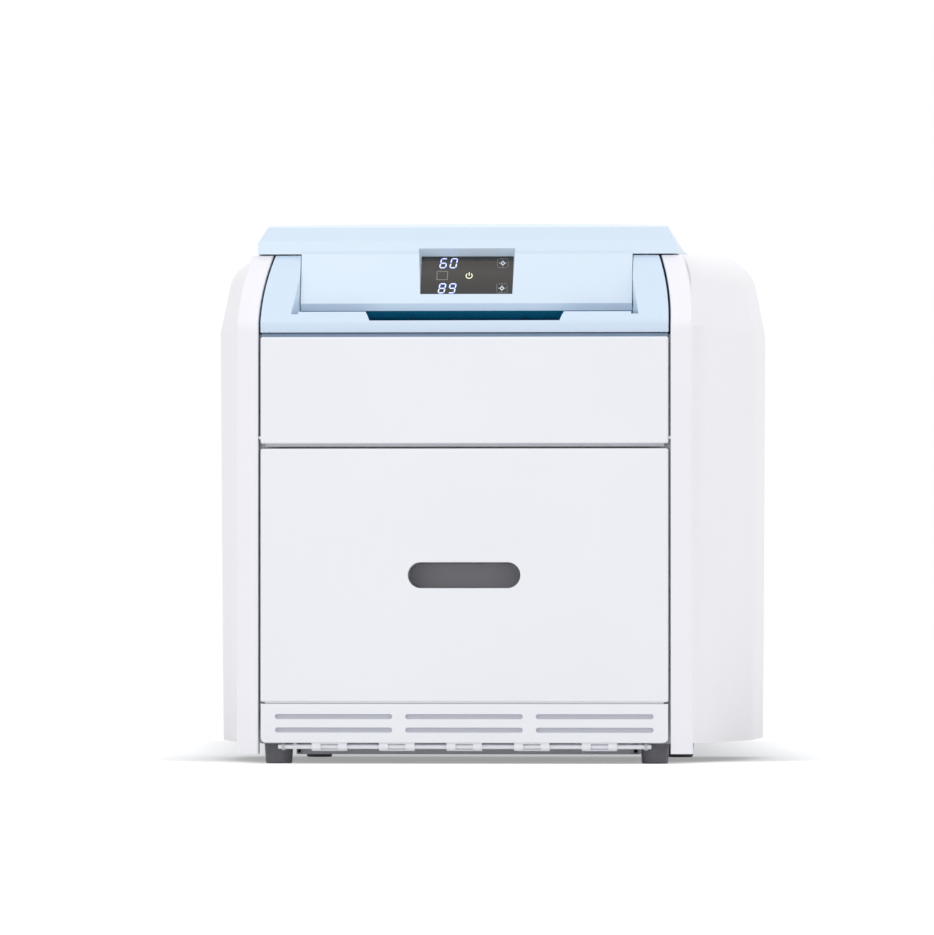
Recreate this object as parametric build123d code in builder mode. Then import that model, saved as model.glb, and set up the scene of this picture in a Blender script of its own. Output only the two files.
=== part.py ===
from build123d import *
import math
import os

os.makedirs("parts", exist_ok=True)

# Desk-top dry film imager. The front faces -Y, +X is to the right seen from the front,
# +Z is up, and the origin is the middle of the footprint on the floor. All sizes in millimetres.

# Film: one sheet is 354 by 430
film_width = 354.0
film_length = 430.0
film_stack = 24.0
film_margin = 8.0

# Overall body; its depth follows from the film and the room behind the tray
front_width = 502.0
flare_width = 596.0
rear_width = 608.0
flare_length = 430.0
rear_room = 130.0
base_z = 22.0

# Front face, upright to the bend and then leaning back and inwards to the hood
bend_z = 484.0
hood_z = 561.0
hood_setback = 48.0
hood_lean = 13.0
bend_radius = 25.0

# Fits
seat_gap = 0.3
shaft_clearance = 0.05
window_clearance = 0.1
belt_gap = 0.4
pulley_gap = 1.0
door_gap = 2.5
cut_margin = 1.0
pin_radius = 2.5

# Moulded walls and sheet metal
skin = 3.0
rib_wall = 2.5
sheet = 2.0
frame_sheet = 2.5

# Pillars
pillar_width = 23.5
pillar_depth = 22.0
pillar_low_z = 11.0
pillar_round = 2.0

# Doors on the front, from the foot up
flap_low_z = 23.0
flap_height = 43.0
flap_depth = 11.0
drawer_low_z = 68.0
drawer_height = 279.0
drawer_depth = 20.0
jam_low_z = 352.5
jam_height = 117.5
jam_depth = 18.0
door_round = 2.5
boss_length = 8.0
boss_inset = 0.5
jam_axis_setback = 8.0
jam_axis_rise = 6.5
jam_rib_pitch = 110.0

# Ventilation flap
flap_corner = 6.0
slot_length = 129.5
slot_height = 5.5
slot_pitch = 144.0
slot_columns = 3
slot_rows = 2
slot_rows_pitch = 14.8
slot_centre_z = 44.6
knuckle_count = 5
knuckle_width = 39.0
knuckle_pitch = 74.5
knuckle_radius = 4.7
window_width = 19.0
window_height = 6.4
rod_radius = 2.5
rod_length = 412.0
rod_z = 18.7
rod_setback = 7.0
rod_round = 1.5
ear_radius = 3.9
ear_width = 3.0
ear_inset = 6.0

# Bezel, output recess and its notch
bezel_low_z = 475.0
bezel_depth = 60.0
lip_top_z = 498.0
lip_wall = 7.0
lip_undercut = 0.45
lip_bend_radius = 15.0
floor_z = 486.0
floor_wall = 3.0
recess_half_width = 184.0
recess_draft = 10.0
notch_top_half = 109.4
notch_low_half = 105.0
notch_low_z = 488.0

# Lid, with its sections as corner inset, corner z, crown z and edge z
lid_half_width = 232.0
lid_low_z = 562.5
lid_front_setback = 45.0
lid_rear_gap = 8.0
brow_break_z = 577.5
brow_setback = 4.5
crest_setback = 52.0
crest_shape = (12.0, 594.0, 597.0, 574.5)
shoulder_setback = 155.0
shoulder_shape = (26.0, 588.0, 592.0, 569.0)
lid_rear_shape = (32.0, 578.0, 581.0, 569.0)
panel_half_width = 183.2
panel_low_z = 499.5
panel_lean = 15.0
panel_foot = 8.0
panel_foot_back = 5.0
panel_cheek = 12.0
brow_lean = 3.0
brow_drop = 2.0
lid_axis_inset = 10.0
lid_axis_z = 566.0
lid_lug_x = 150.0
lid_lug_width = 12.0
lid_lug_radius = 6.0
lid_rib_pitch = 88.0
lid_rib_rows = 5
lid_rib_drop = 14.0
rib_start_setback = 44.0
hinge_hub_radius = 5.0
hinge_ear_reach = 14.0
hinge_ear_foot = 8.0
hinge_foot_border = 12.0
hinge_foot_depth = 17.0
beam_drop = 8.0

# Display, leaning back in a pocket of the lid panel
display_width = 101.7
display_height = 48.3
display_low_z = 517.8
display_tilt = 29.0
display_glass = 2.5
window_round = 1.0
pocket_taper = 10.0
pocket_border = 4.0
display_ledge = 5.0
display_stand_off = 0.5
board_sheet = 1.6

# Grip in the drawer front
grip_length = 124.0
grip_height = 28.4
grip_z = 207.5
grip_cup_depth = 30.0
grip_flange = 12.0
grip_rib_gap = 12.0
cup_taper = 3.0
cup_round = 4.0

# Film tray
tray_low_z = 84.0
tray_side_z = 150.0
tray_rear_z = 104.0
tray_corner = 8.0
tray_hole_radius = 12.0
tray_hole_columns = 3
tray_hole_rows = 4

# Drawer rails
rail_z = 120.0
rail_height = 40.0
rail_sheet = 2.0
outer_rail_width = 13.0
outer_rail_overrun = 18.0
inner_rail_inset = 4.0

# Chassis
side_frame_inner = 212.0
side_frame_top_z = 548.0
side_frame_front_z = 473.0
frame_rear_inset = 6.0
pan_half_width = 226.0
sump_half_width = 190.0
sump_drop = 12.0
sump_inset = 24.0
sump_round = 12.0
flange_half_width = 249.5
bar_depth = 14.0
bar_overlap = 8.0
beam_depth = 30.0
beam_height = 22.0
relief_radius = 24.0

# Relief holes in the side frames, as setback from the front or from the rear, and height
front_reliefs = ((150.0, 190.0), (150.0, 260.0), (240.0, 60.0), (240.0, 400.0))
rear_reliefs = ((240.0, 60.0), (280.0, 330.0), (60.0, 420.0))

# Feet
foot_top_radius = 16.0
foot_low_radius = 14.5
foot_round = 2.0
foot_side_inset = 18.0
foot_end_inset = 42.0

# Side covers, with their sections as lean to the waist, waist z, corner inset, corner z, top z
cover_tuck = 5.0
cover_draft = 2.5
cover_top_x = 233.0
cover_front_shape = (3.4, 531.5, 9.5, 557.0, 561.0)
cover_flare_shape = (10.0, 537.0, 48.0, 571.5, 574.0)
cover_rear_shape = (10.5, 538.0, 50.0, 574.5, 577.0)
groove_depth = 6.0
groove_flat_setback = 60.0
groove_end_setback = 115.0
groove_slope = 8.0

# Intake filter behind the flap
filter_half_width = 200.0
filter_depth = 12.0
filter_border = 5.0
filter_pitch = 19.0

# Film transport; the drum is placed from the rear, the exit rollers from the bezel and the
# feed and pick-up rollers from the tray
drum_rear_setback = 200.0
drum_z = 430.0
drum_radius = 60.0
drum_length = 372.0
drum_wall = 8.0
drum_shaft_radius = 8.0
shaft_radius = 4.0
roller_radius = 12.0
roller_length = 376.0
nip_gap = 0.6
exit_reach = 25.0
exit_z = 478.0
feed_reach = 44.0
feed_z = 190.0
pinch_radius = 9.0
pinch_angles = (40.0, 100.0)
pickup_inset = 20.0
pickup_radius = 14.0
pickup_lift = 6.0
pickup_pitch = 90.0
pickup_width = 18.0
pickup_arm_x = 70.0
cover_radius = 88.0
cover_angles = (10.0, 135.0)
guide_reach = 80.0
guide_rise = 40.0
guide_gap = 5.0
guide_flange = 12.0
guide_ribs = 9
groove_width = 2.0

# Bearings
bearing_wall = 3.0
drum_bearing_wall = 5.0
bearing_length = 6.0

# Drum gear and motor pinion
gear_module = 1.5
drum_teeth = 72
pinion_teeth = 16
pressure_angle = 20.0
tooth_root = 1.2
tooth_tip = 0.95
gear_width = 10.0
gear_holes = 6
gear_hole_radius = 9.0
gear_hole_orbit = 27.0
gear_backlash = 0.35
gear_offset = 4.0
motor_angle = -60.0
motor_radius = 21.0
motor_length = 38.0
motor_shaft_radius = 3.0
motor_pilot_radius = 11.0
bracket_sheet = 2.5
bracket_leg_radius = 4.0
bracket_reach = 31.0

# Timing belt on the left, five turns of a roller for one of the drum
belt_pitch = 5.0
drum_pulley_teeth = 50
roller_pulley_teeth = 10
belt_width = 8.0
belt_thickness = 2.0
pulley_flange = 1.5
pulley_rim = 1.0

# Optics deck and exposure unit
deck_z = 250.0
deck_front_setback = 100.0
deck_gap = 10.0
deck_flange = 15.0
exposure_half_width = 165.0
exposure_length = 220.0
exposure_height = 62.0
exposure_inset = 12.0
exposure_slot = 8.0
fin_pitch = 33.0
fin_count = 7
fin_length = 165.0

# Rear panel and what is mounted on it
fan_size = 120.0
fan_depth = 25.0
fan_radius = 57.0
fan_clearance = 1.5
fan_corner = 5.0
fan_hole_inset = 7.5
fan_hole_radius = 2.2
fan_strut = 5.0
axle_radius = 2.0
axle_gap = 0.5
blade_sheet = 1.6
blade_angle = 35.0
fan_hub_radius = 20.0
fan_blades = 7
fan_x = -90.0
fan_z = 400.0
inlet_x = 175.0
inlet_z = 90.0
inlet_width = 50.0
inlet_height = 58.0
inlet_depth = 30.0
inlet_flange = 5.0
socket_half_width = 12.0
socket_half_height = 8.0
socket_pins = ((-7.0, -2.0), (0.0, 2.0), (7.0, -2.0))
socket_pin_half = (1.0, 2.0)
grille_pitch = 10.0
grille_rings = 5
grille_angle = 45.0
louvre_length = 110.0
louvre_height = 4.0
louvre_rows = 9
louvre_pitch = 11.0
low_louvres_x = -155.0
low_louvres_z = 150.0
high_louvres_x = 100.0
rocker_width = 14.0
rocker_half = 10.0
rocker_angle = 8.0
rocker_setback = 8.5
rocker_room = 1.5
rocker_back = 3.0
rocker_horn = 6.4
rocker_dip = 5.0

# Control board; its parts as place along and up from the middle, length, height, thickness
board_setback = 80.0
board_length = 220.0
board_low_z = 70.0
board_height = 220.0
board_lift = 5.5
standoff_inset = 10.0
standoff_radius = 4.0
board_chips = (
    (-60.0, 50.0, 42.0, 42.0, 4.0), (10.0, 55.0, 28.0, 28.0, 3.0),
    (55.0, 50.0, 14.0, 40.0, 3.0), (-70.0, -15.0, 20.0, 28.0, 8.0),
    (-20.0, -5.0, 30.0, 16.0, 3.0), (30.0, 0.0, 30.0, 16.0, 3.0),
    (75.0, -10.0, 12.0, 12.0, 12.0), (-75.0, -80.0, 50.0, 14.0, 10.0),
    (-10.0, -80.0, 50.0, 14.0, 10.0), (55.0, -80.0, 50.0, 14.0, 10.0),
)
can_radius = 5.0
can_height = 16.0
can_pitch = (24.0, 22.0)

# Power supply, a vented box with two coils in it
supply_rear_setback = 160.0
supply_length = 200.0
supply_low_z = 60.0
supply_height = 120.0
supply_width = 40.0
vent_length = 34.0
vent_height = 6.0
vent_pitch = (16.0, 40.0)
vent_columns = 10
vent_rows = 2
coil_radius = 14.0
coil_gap = 8.0
coil_insets = (30.0, 50.0)

# Derived places
body_depth = drawer_depth + 2 * sheet + 2 * film_margin + film_length + rear_room
front_y = -body_depth / 2
rear_y = body_depth / 2
pillar_outer = front_width / 2
pillar_inner = pillar_outer - pillar_width
door_half_width = pillar_inner - door_gap
hood_slope = hood_setback / (hood_z - bend_z)
lean_radius = ((hood_z - bend_z) ** 2 + hood_lean ** 2) / (2 * hood_lean)
frame_front_y = front_y + pillar_depth
frame_rear_y = rear_y - frame_rear_inset
pan_top_z = base_z + sheet
side_frame_outer = side_frame_inner + frame_sheet
bezel_rear_y = front_y + bezel_depth
bezel_outer = pillar_inner - door_gap
rod_y = front_y + rod_setback
film_low_z = tray_low_z + sheet
film_top_z = film_low_z + film_stack
drawer_rear_y = front_y + drawer_depth
tray_rear_y = rear_y - rear_room
film_rear_y = tray_rear_y - sheet - film_margin
drum_y = rear_y - drum_rear_setback
exit_y = bezel_rear_y + exit_reach
feed_y = tray_rear_y + feed_reach
pickup_y = film_rear_y - pickup_inset
far = 2 * body_depth


def save(piece, name):
    """Label a finished piece and write it to its own file."""
    piece.part.label = name
    export_step(piece.part, f"parts/{name}.step")


def block(x_span, y_span, z_span, mode=Mode.ADD):
    """Box between pairs of limits, in the part being built."""
    spans = (x_span, y_span, z_span)
    centre = tuple((low + high) / 2 for low, high in spans)
    with Locations(centre):
        Box(*(high - low for low, high in spans), mode=mode)


def side_outline(points, x=0.0):
    """Closed outline of (y, z) points, facing +X."""
    with BuildSketch(Plane.YZ.offset(x)) as outline:
        with BuildLine():
            Polyline(*points, close=True)
        make_face()
    return outline.sketch


def front_outline(points, y=0.0):
    """Closed outline of (x, z) points, facing the front."""
    with BuildSketch(Plane.XZ.offset(-y)) as outline:
        with BuildLine():
            Polyline(*points, close=True)
        make_face()
    return outline.sketch


def plan_outline(points, z=0.0):
    """Closed outline of (x, y) points, facing up."""
    with BuildSketch(Plane.XY.offset(z)) as outline:
        with BuildLine():
            Polyline(*points, close=True)
        make_face()
    return outline.sketch


def profile_y(z, shift=0.0):
    """Depth of the front face at a height, moved back by shift."""
    return front_y + shift + max(z - bend_z, 0.0) * hood_slope


def lean_at(z):
    """How far the hood's sides have leaned inwards at a height."""
    rise = max(z - bend_z, 0.0)
    return lean_radius - math.sqrt(lean_radius**2 - rise**2)


def upright(inner_x, outer_x, low_z, high_z):
    """Front outline of an upright whose two sides curve inwards above the bend."""
    lean = lean_at(high_z)
    with BuildSketch(Plane.XZ) as outline:
        with BuildLine():
            Line((inner_x, low_z), (inner_x, bend_z))
            TangentArc((inner_x, bend_z), (inner_x - lean, high_z), tangent=(0, 1))
            Line((inner_x - lean, high_z), (outer_x - lean, high_z))
            TangentArc((outer_x, bend_z), (outer_x - lean, high_z), tangent=(0, 1))
            Line((outer_x, bend_z), (outer_x, low_z))
            Line((outer_x, low_z), (inner_x, low_z))
        make_face()
    return outline.sketch


def hood_band(low_z, high_z, front_shift, rear_shift=None, rear_y_limit=None, undercut=0.0,
              radius=bend_radius):
    """Side outline between the front face and a parallel or an upright back."""
    foot_y = front_y + front_shift + undercut * (bend_z - low_z)
    front = [(foot_y, low_z), (front_y + front_shift, bend_z)]
    front += [(profile_y(high_z, front_shift), high_z)]
    if rear_y_limit is None:
        back = [(profile_y(high_z, rear_shift), high_z), (front_y + rear_shift, bend_z)]
        back += [(front_y + rear_shift, low_z)]
    else:
        back = [(rear_y_limit, high_z), (rear_y_limit, low_z)]
    with BuildSketch(Plane.YZ) as band:
        with BuildLine():
            Polyline(*front, *back, close=True)
        make_face()
        bends = [v for v in band.vertices() if abs(v.Y - bend_z) < 0.01]
        fillet(bends, radius)
    return band.sketch


def turned(centre, outline):
    """Piece turned about an X axis through centre; outline holds (x, radius) points."""
    y, z = centre
    half_section = Plane(origin=(0, y, z), x_dir=(1, 0, 0), z_dir=(0, -1, 0))
    with BuildPart() as piece:
        with BuildSketch(half_section):
            with BuildLine():
                Polyline(*outline, close=True)
            make_face()
        revolve(axis=Axis((0, y, z), (1, 0, 0)))
    return piece


def cylinder_between(centre, radius, x_low, x_high, mode=Mode.ADD):
    """Cylinder along X between two limits, in the part being built."""
    y, z = centre
    with Locations(Location(((x_low + x_high) / 2, y, z), (0, 90, 0))):
        Cylinder(radius, x_high - x_low, mode=mode)


# Base pan: a rim that carries the frames and feet, and a sump pressed down in the middle
sump_front_y = frame_front_y + sump_inset
sump_rear_y = frame_rear_y - sump_inset
sump_low_z = base_z - sump_drop
ear_x = rod_length / 2 - ear_inset

with BuildPart() as base_pan:
    block((-pan_half_width, pan_half_width), (frame_front_y, frame_rear_y), (base_z, pan_top_z))
    block((-sump_half_width, sump_half_width), (sump_front_y, sump_rear_y), (sump_low_z, pan_top_z))
    fillet(base_pan.edges().filter_by(Axis.Z).group_by(Axis.Z)[0], sump_round)
    inner_x = sump_half_width - sheet
    block((-inner_x, inner_x), (sump_front_y + sheet, sump_rear_y - sheet),
          (sump_low_z + sheet, pan_top_z), mode=Mode.SUBTRACT)
    ear_points = [
        (rod_y, rod_z - ear_radius),
        (frame_front_y + sheet, rod_z - ear_radius),
        (frame_front_y + sheet, pan_top_z),
        (frame_front_y - sheet, pan_top_z),
        (frame_front_y - 2 * sheet, rod_z + ear_radius - sheet / 2),
        (rod_y, rod_z + ear_radius),
    ]
    for side in (-1, 1):
        ear_low = side * ear_x - ear_width / 2
        extrude(side_outline(ear_points, ear_low), amount=ear_width)
        cylinder_between((rod_y, rod_z), ear_radius, ear_low, ear_low + ear_width)
        cylinder_between((rod_y, rod_z), rod_radius + shaft_clearance,
                         ear_low, ear_low + ear_width, mode=Mode.SUBTRACT)
save(base_pan, "base_pan")

# Rubber feet under the four corners of the rim
with BuildPart() as rubber_feet:
    with GridLocations(2 * (pan_half_width - foot_side_inset), 2 * (rear_y - foot_end_inset), 2, 2):
        Cone(foot_low_radius, foot_top_radius, base_z, align=(Align.CENTER, Align.CENTER, Align.MIN))
    fillet(rubber_feet.edges().group_by(Axis.Z)[0], foot_round)
save(rubber_feet, "rubber_feet")

# Side frames with an outward flange that the pillars seat on, and holes for the bearings
bearing_radius = shaft_radius + shaft_clearance + bearing_wall
drum_bearing_radius = drum_shaft_radius + shaft_clearance + drum_bearing_wall
nip_distance = 2 * roller_radius + nip_gap
pinch_orbit = drum_radius + pinch_radius + nip_gap
pinch_places = [
    (drum_y + pinch_orbit * math.cos(math.radians(angle)),
     drum_z + pinch_orbit * math.sin(math.radians(angle)))
    for angle in pinch_angles
]
exit_place = (exit_y, exit_z)
exit_pinch_place = (exit_y, exit_z + nip_distance)
feed_place = (feed_y, feed_z)
feed_pinch_place = (feed_y + nip_distance, feed_z)
drum_place = (drum_y, drum_z)
small_shafts = [exit_place, exit_pinch_place, feed_place, feed_pinch_place, *pinch_places]
reliefs = [(front_y + setback, z) for setback, z in front_reliefs]
reliefs += [(rear_y - setback, z) for setback, z in rear_reliefs]

frame_points = [
    (frame_front_y, pan_top_z),
    (frame_rear_y, pan_top_z),
    (frame_rear_y, side_frame_top_z),
    (bezel_rear_y + sheet, side_frame_top_z),
    (bezel_rear_y + sheet, side_frame_front_z),
    (frame_front_y, side_frame_front_z),
]
with BuildPart() as right_side_frame:
    extrude(side_outline(frame_points, side_frame_inner), amount=frame_sheet)
    block((side_frame_inner, flange_half_width), (frame_front_y, frame_front_y + sheet),
          (pan_top_z, side_frame_front_z))
    for place in small_shafts:
        cylinder_between(place, bearing_radius + shaft_clearance,
                         side_frame_inner, side_frame_outer, mode=Mode.SUBTRACT)
    cylinder_between(drum_place, drum_bearing_radius + shaft_clearance,
                     side_frame_inner, side_frame_outer, mode=Mode.SUBTRACT)
    for place in reliefs:
        cylinder_between(place, relief_radius, side_frame_inner, side_frame_outer,
                         mode=Mode.SUBTRACT)
save(right_side_frame, "right_side_frame")

with BuildPart() as left_side_frame:
    mirror(right_side_frame.part, about=Plane.YZ)
save(left_side_frame, "left_side_frame")

# Bearing rings pressed into both side frames
with BuildPart() as roller_bearings:
    for side in (-1, 1):
        middle = side * (side_frame_inner + frame_sheet / 2)
        low, high = middle - bearing_length / 2, middle + bearing_length / 2
        for place in small_shafts:
            cylinder_between(place, bearing_radius, low, high)
            cylinder_between(place, shaft_radius + shaft_clearance, low, high, mode=Mode.SUBTRACT)
        cylinder_between(drum_place, drum_bearing_radius, low, high)
        cylinder_between(drum_place, drum_shaft_radius + shaft_clearance, low, high,
                         mode=Mode.SUBTRACT)
save(roller_bearings, "roller_bearings")


def cross_bar(low_z, high_z):
    """Channel across the front between the side frames, open at the back."""
    reach = side_frame_inner
    with BuildPart() as bar:
        block((-reach, reach), (frame_front_y, frame_front_y + bar_depth), (low_z, high_z))
        block((-reach, reach), (frame_front_y + sheet, frame_front_y + bar_depth),
              (low_z + sheet, high_z - sheet), mode=Mode.SUBTRACT)
    return bar


# Cross bars behind the gaps between the bezel, doors and flap
upper_front_bar = cross_bar(jam_low_z + jam_height - 2 * bar_overlap, floor_z - floor_wall)
save(upper_front_bar, "upper_front_bar")
middle_front_bar = cross_bar(drawer_low_z + drawer_height - bar_overlap, jam_low_z + bar_overlap)
save(middle_front_bar, "middle_front_bar")
lower_front_bar = cross_bar(flap_low_z + flap_height - skin, drawer_low_z + bar_overlap)
save(lower_front_bar, "lower_front_bar")


# Pillars: hollow uprights, open at the back, that stand on the side frames' flanges
with BuildPart() as pillar_core:
    extrude(upright(pillar_inner + skin, pillar_outer - skin, pillar_low_z + skin, hood_z - skin),
            amount=far, both=True)
    extrude(hood_band(pillar_low_z + skin, hood_z - skin, skin, pillar_depth + skin),
            amount=far, both=True, mode=Mode.INTERSECT)

jam_axis_y = front_y + jam_axis_setback
jam_axis_z = jam_low_z + jam_axis_rise
with BuildPart() as right_pillar:
    extrude(upright(pillar_inner, pillar_outer, pillar_low_z, hood_z), amount=far, both=True)
    extrude(hood_band(pillar_low_z, hood_z, 0, pillar_depth), amount=far, both=True,
            mode=Mode.INTERSECT)
    front_edges = [
        edge for edge in right_pillar.edges()
        if edge.length > 5 and abs(edge.center().Z - pillar_low_z) > 1
        and abs(edge.center().Z - hood_z) > 1
        and edge.center().Y < profile_y(edge.center().Z) + pillar_depth / 2
        and min(abs(edge.center().X - x + lean_at(edge.center().Z))
                for x in (pillar_inner, pillar_outer)) < 1
    ]
    fillet(front_edges, pillar_round)
    add(pillar_core.part, mode=Mode.SUBTRACT)
    cylinder_between((jam_axis_y, jam_axis_z), pin_radius + shaft_clearance,
                     pillar_inner - cut_margin, pillar_inner + skin + cut_margin,
                     mode=Mode.SUBTRACT)
save(right_pillar, "right_pillar")

with BuildPart() as left_pillar:
    mirror(right_pillar.part, about=Plane.YZ)
save(left_pillar, "left_pillar")

# Side covers: a flared shell with a soft shoulder, lofted through sections from the groove
# beside the pillar to the rear
cover_front_y = frame_front_y + sheet + seat_gap
cover_flare_y = front_y + flare_length
cover_stations = (
    (cover_front_y, (pillar_outer - cover_tuck, *cover_front_shape)),
    (cover_flare_y, (flare_width / 2, *cover_flare_shape)),
    (rear_y, (rear_width / 2, *cover_rear_shape)),
)


def cover_values(y):
    """Half width and shape of a side cover at one depth, between its main sections."""
    for (low_y, low), (high_y, high) in zip(cover_stations, cover_stations[1:]):
        if y <= high_y:
            share = (y - low_y) / (high_y - low_y)
            return [start + (end - start) * share for start, end in zip(low, high)]


def cover_section(y, inset, groove=0.0):
    """Front outline of a side cover at one depth, drawn in by inset for the inside."""
    half_width, lean, waist_z, corner_in, corner_z, top_z = cover_values(y)
    side_x = half_width - inset
    open_x = cover_top_x - 2 * inset
    waist = (side_x - lean, waist_z)
    corner = (half_width - corner_in, corner_z - inset)
    with BuildSketch(Plane.XZ.offset(-y)) as section:
        with BuildLine():
            Polyline((open_x, base_z + inset), (side_x - groove - cover_draft, base_z + inset),
                     (side_x - groove, bend_z - groove_slope), (side_x, bend_z), waist)
            TangentArc(waist, corner, tangent=(-lean, waist_z - bend_z))
            Polyline(corner, (open_x, top_z - inset), (open_x, base_z + inset))
        make_face()
    return section.sketch


def cover_solid(inset):
    """Solid inside a side cover's outer face, drawn in by inset."""
    with BuildPart() as solid:
        loft([
            cover_section(cover_front_y, inset, groove_depth),
            cover_section(front_y + groove_flat_setback, inset, groove_depth),
            cover_section(front_y + groove_end_setback, inset),
            cover_section(cover_flare_y, inset),
            cover_section(rear_y, inset),
        ], ruled=True)
    return solid.part


clear_front = front_y + pillar_depth + sheet + seat_gap
front_cutter = [
    (front_y - skin, 0),
    (clear_front, 0),
    (clear_front, bend_z),
    (profile_y(2 * hood_z, clear_front - front_y), 2 * hood_z),
    (front_y - skin, 2 * hood_z),
]
with BuildPart() as right_side_cover:
    add(cover_solid(0))
    add(cover_solid(skin), mode=Mode.SUBTRACT)
    extrude(side_outline(front_cutter), amount=far, mode=Mode.SUBTRACT)
save(right_side_cover, "right_side_cover")

with BuildPart() as left_side_cover:
    mirror(right_side_cover.part, about=Plane.YZ)
save(left_side_cover, "left_side_cover")

# Front bezel: two leaning posts, the lip with its notch, and the floor under the film outlet
post_wall_x = recess_half_width + recess_draft + skin
with BuildPart() as post_core:
    extrude(upright(post_wall_x, bezel_outer - skin, bezel_low_z - skin, hood_z - skin),
            amount=far, both=True)
    mirror(about=Plane.YZ)
    extrude(hood_band(bezel_low_z - skin, hood_z - skin, skin, rear_y_limit=bezel_rear_y + skin,
                      undercut=lip_undercut, radius=lip_bend_radius),
            amount=far, both=True, mode=Mode.INTERSECT)

panel_foot_y = front_y + lid_front_setback - panel_lean
recess_rear = bezel_rear_y + skin
draft_end_y = panel_foot_y + skin
lip_front_y = front_y + lip_wall
open_front_y = front_y - skin


def recess_plan(start_y):
    """Plan of the output recess, with drafted side walls, from a front limit back."""
    spread = recess_draft * (draft_end_y - start_y) / (draft_end_y - front_y)
    wide = recess_half_width + spread
    return [(-wide, start_y), (wide, start_y), (recess_half_width, draft_end_y),
            (recess_half_width, recess_rear), (-recess_half_width, recess_rear),
            (-recess_half_width, draft_end_y)]


notch_points = [(-notch_low_half, notch_low_z), (notch_low_half, notch_low_z),
                (notch_top_half, lip_top_z + cut_margin),
                (-notch_top_half, lip_top_z + cut_margin)]
with BuildPart() as front_bezel:
    extrude(upright(0, bezel_outer, bezel_low_z, hood_z), amount=far, both=True)
    mirror(about=Plane.YZ)
    block((-bezel_outer / 2, bezel_outer / 2), (front_y, bezel_rear_y), (bezel_low_z, hood_z))
    extrude(hood_band(bezel_low_z, hood_z, 0, rear_y_limit=bezel_rear_y, undercut=lip_undercut,
                      radius=lip_bend_radius), amount=far, both=True, mode=Mode.INTERSECT)
    extrude(plan_outline(recess_plan(lip_front_y), floor_z), amount=hood_z, mode=Mode.SUBTRACT)
    extrude(plan_outline(recess_plan(open_front_y), lip_top_z), amount=hood_z, mode=Mode.SUBTRACT)
    extrude(front_outline(notch_points, lip_front_y + cut_margin), amount=2 * lip_wall,
            mode=Mode.SUBTRACT)
    add(post_core.part, mode=Mode.SUBTRACT)
    block((-post_wall_x, post_wall_x), (lip_front_y, recess_rear),
          (bezel_low_z - skin, floor_z - floor_wall), mode=Mode.SUBTRACT)
save(front_bezel, "front_bezel")

# Lid: a shallow shell with a brow, and a front panel that hangs down behind the output recess
lid_front_y = front_y + lid_front_setback
lid_rear_y = rear_y - lid_rear_gap
crest_y = lid_front_y + crest_setback
panel_bend_z = panel_low_z + panel_foot
panel_slope = panel_lean / (lid_low_z - panel_bend_z)
lid_axis_y = lid_rear_y - lid_axis_inset


def lid_section(y, shape, inset):
    """Front outline of the lid at one depth, drawn in by inset and open below."""
    corner_in, corner_z, crown_z, edge_z = shape
    side = lid_half_width - inset
    corner_x = side - corner_in
    low_z = lid_low_z - inset
    with BuildSketch(Plane.XZ.offset(-y)) as section:
        with BuildLine():
            Polyline((-corner_x, corner_z - inset), (-side, edge_z), (-side, low_z), (side, low_z),
                     (side, edge_z), (corner_x, corner_z - inset))
            ThreePointArc((corner_x, corner_z - inset), (0, crown_z - inset),
                          (-corner_x, corner_z - inset))
        make_face()
    return section.sketch


def brow_outline(inset):
    """Side outline of the lid from its brow back to the crest, drawn in by inset."""
    front = lid_front_y + inset
    brow = (lid_front_y + brow_setback + inset, crest_shape[1] - brow_drop - inset)
    crest = (crest_y, crest_shape[2] - inset)
    with BuildSketch(Plane.YZ) as outline:
        with BuildLine():
            Polyline(brow, (front + brow_lean, brow_break_z), (front, lid_low_z - inset),
                     (crest_y, lid_low_z - inset), crest)
            TangentArc(crest, brow, tangent=(-1, 0))
        make_face()
    return outline.sketch


def lid_solid(inset):
    """Solid inside the lid's outer face, drawn in by inset and open below."""
    with BuildPart() as brow:
        extrude(lid_section(crest_y, crest_shape, inset), amount=crest_setback)
        extrude(brow_outline(inset), amount=far, both=True, mode=Mode.INTERSECT)
    with BuildPart() as solid:
        loft([
            lid_section(crest_y, crest_shape, inset),
            lid_section(lid_front_y + shoulder_setback, shoulder_shape, inset),
            lid_section(lid_rear_y - inset, lid_rear_shape, inset),
        ], ruled=True)
        add(brow.part)
    return solid.part


lid_core = lid_solid(skin)
with BuildPart() as lid_ribs:
    rib_span_y = (lid_front_y + rib_start_setback, lid_rear_y)
    rib_span_z = (lid_low_z + lid_rib_drop - rib_wall, crest_shape[2])
    with Locations((0, sum(rib_span_y) / 2, sum(rib_span_z) / 2)):
        with GridLocations(lid_rib_pitch, 0, lid_rib_rows, 1):
            Box(rib_wall, rib_span_y[1] - rib_span_y[0], rib_span_z[1] - rib_span_z[0])
        with GridLocations(0, lid_rib_pitch, 1, lid_rib_rows):
            Box(2 * lid_half_width, rib_wall, rib_span_z[1] - rib_span_z[0])
    add(lid_core, mode=Mode.INTERSECT)

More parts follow.
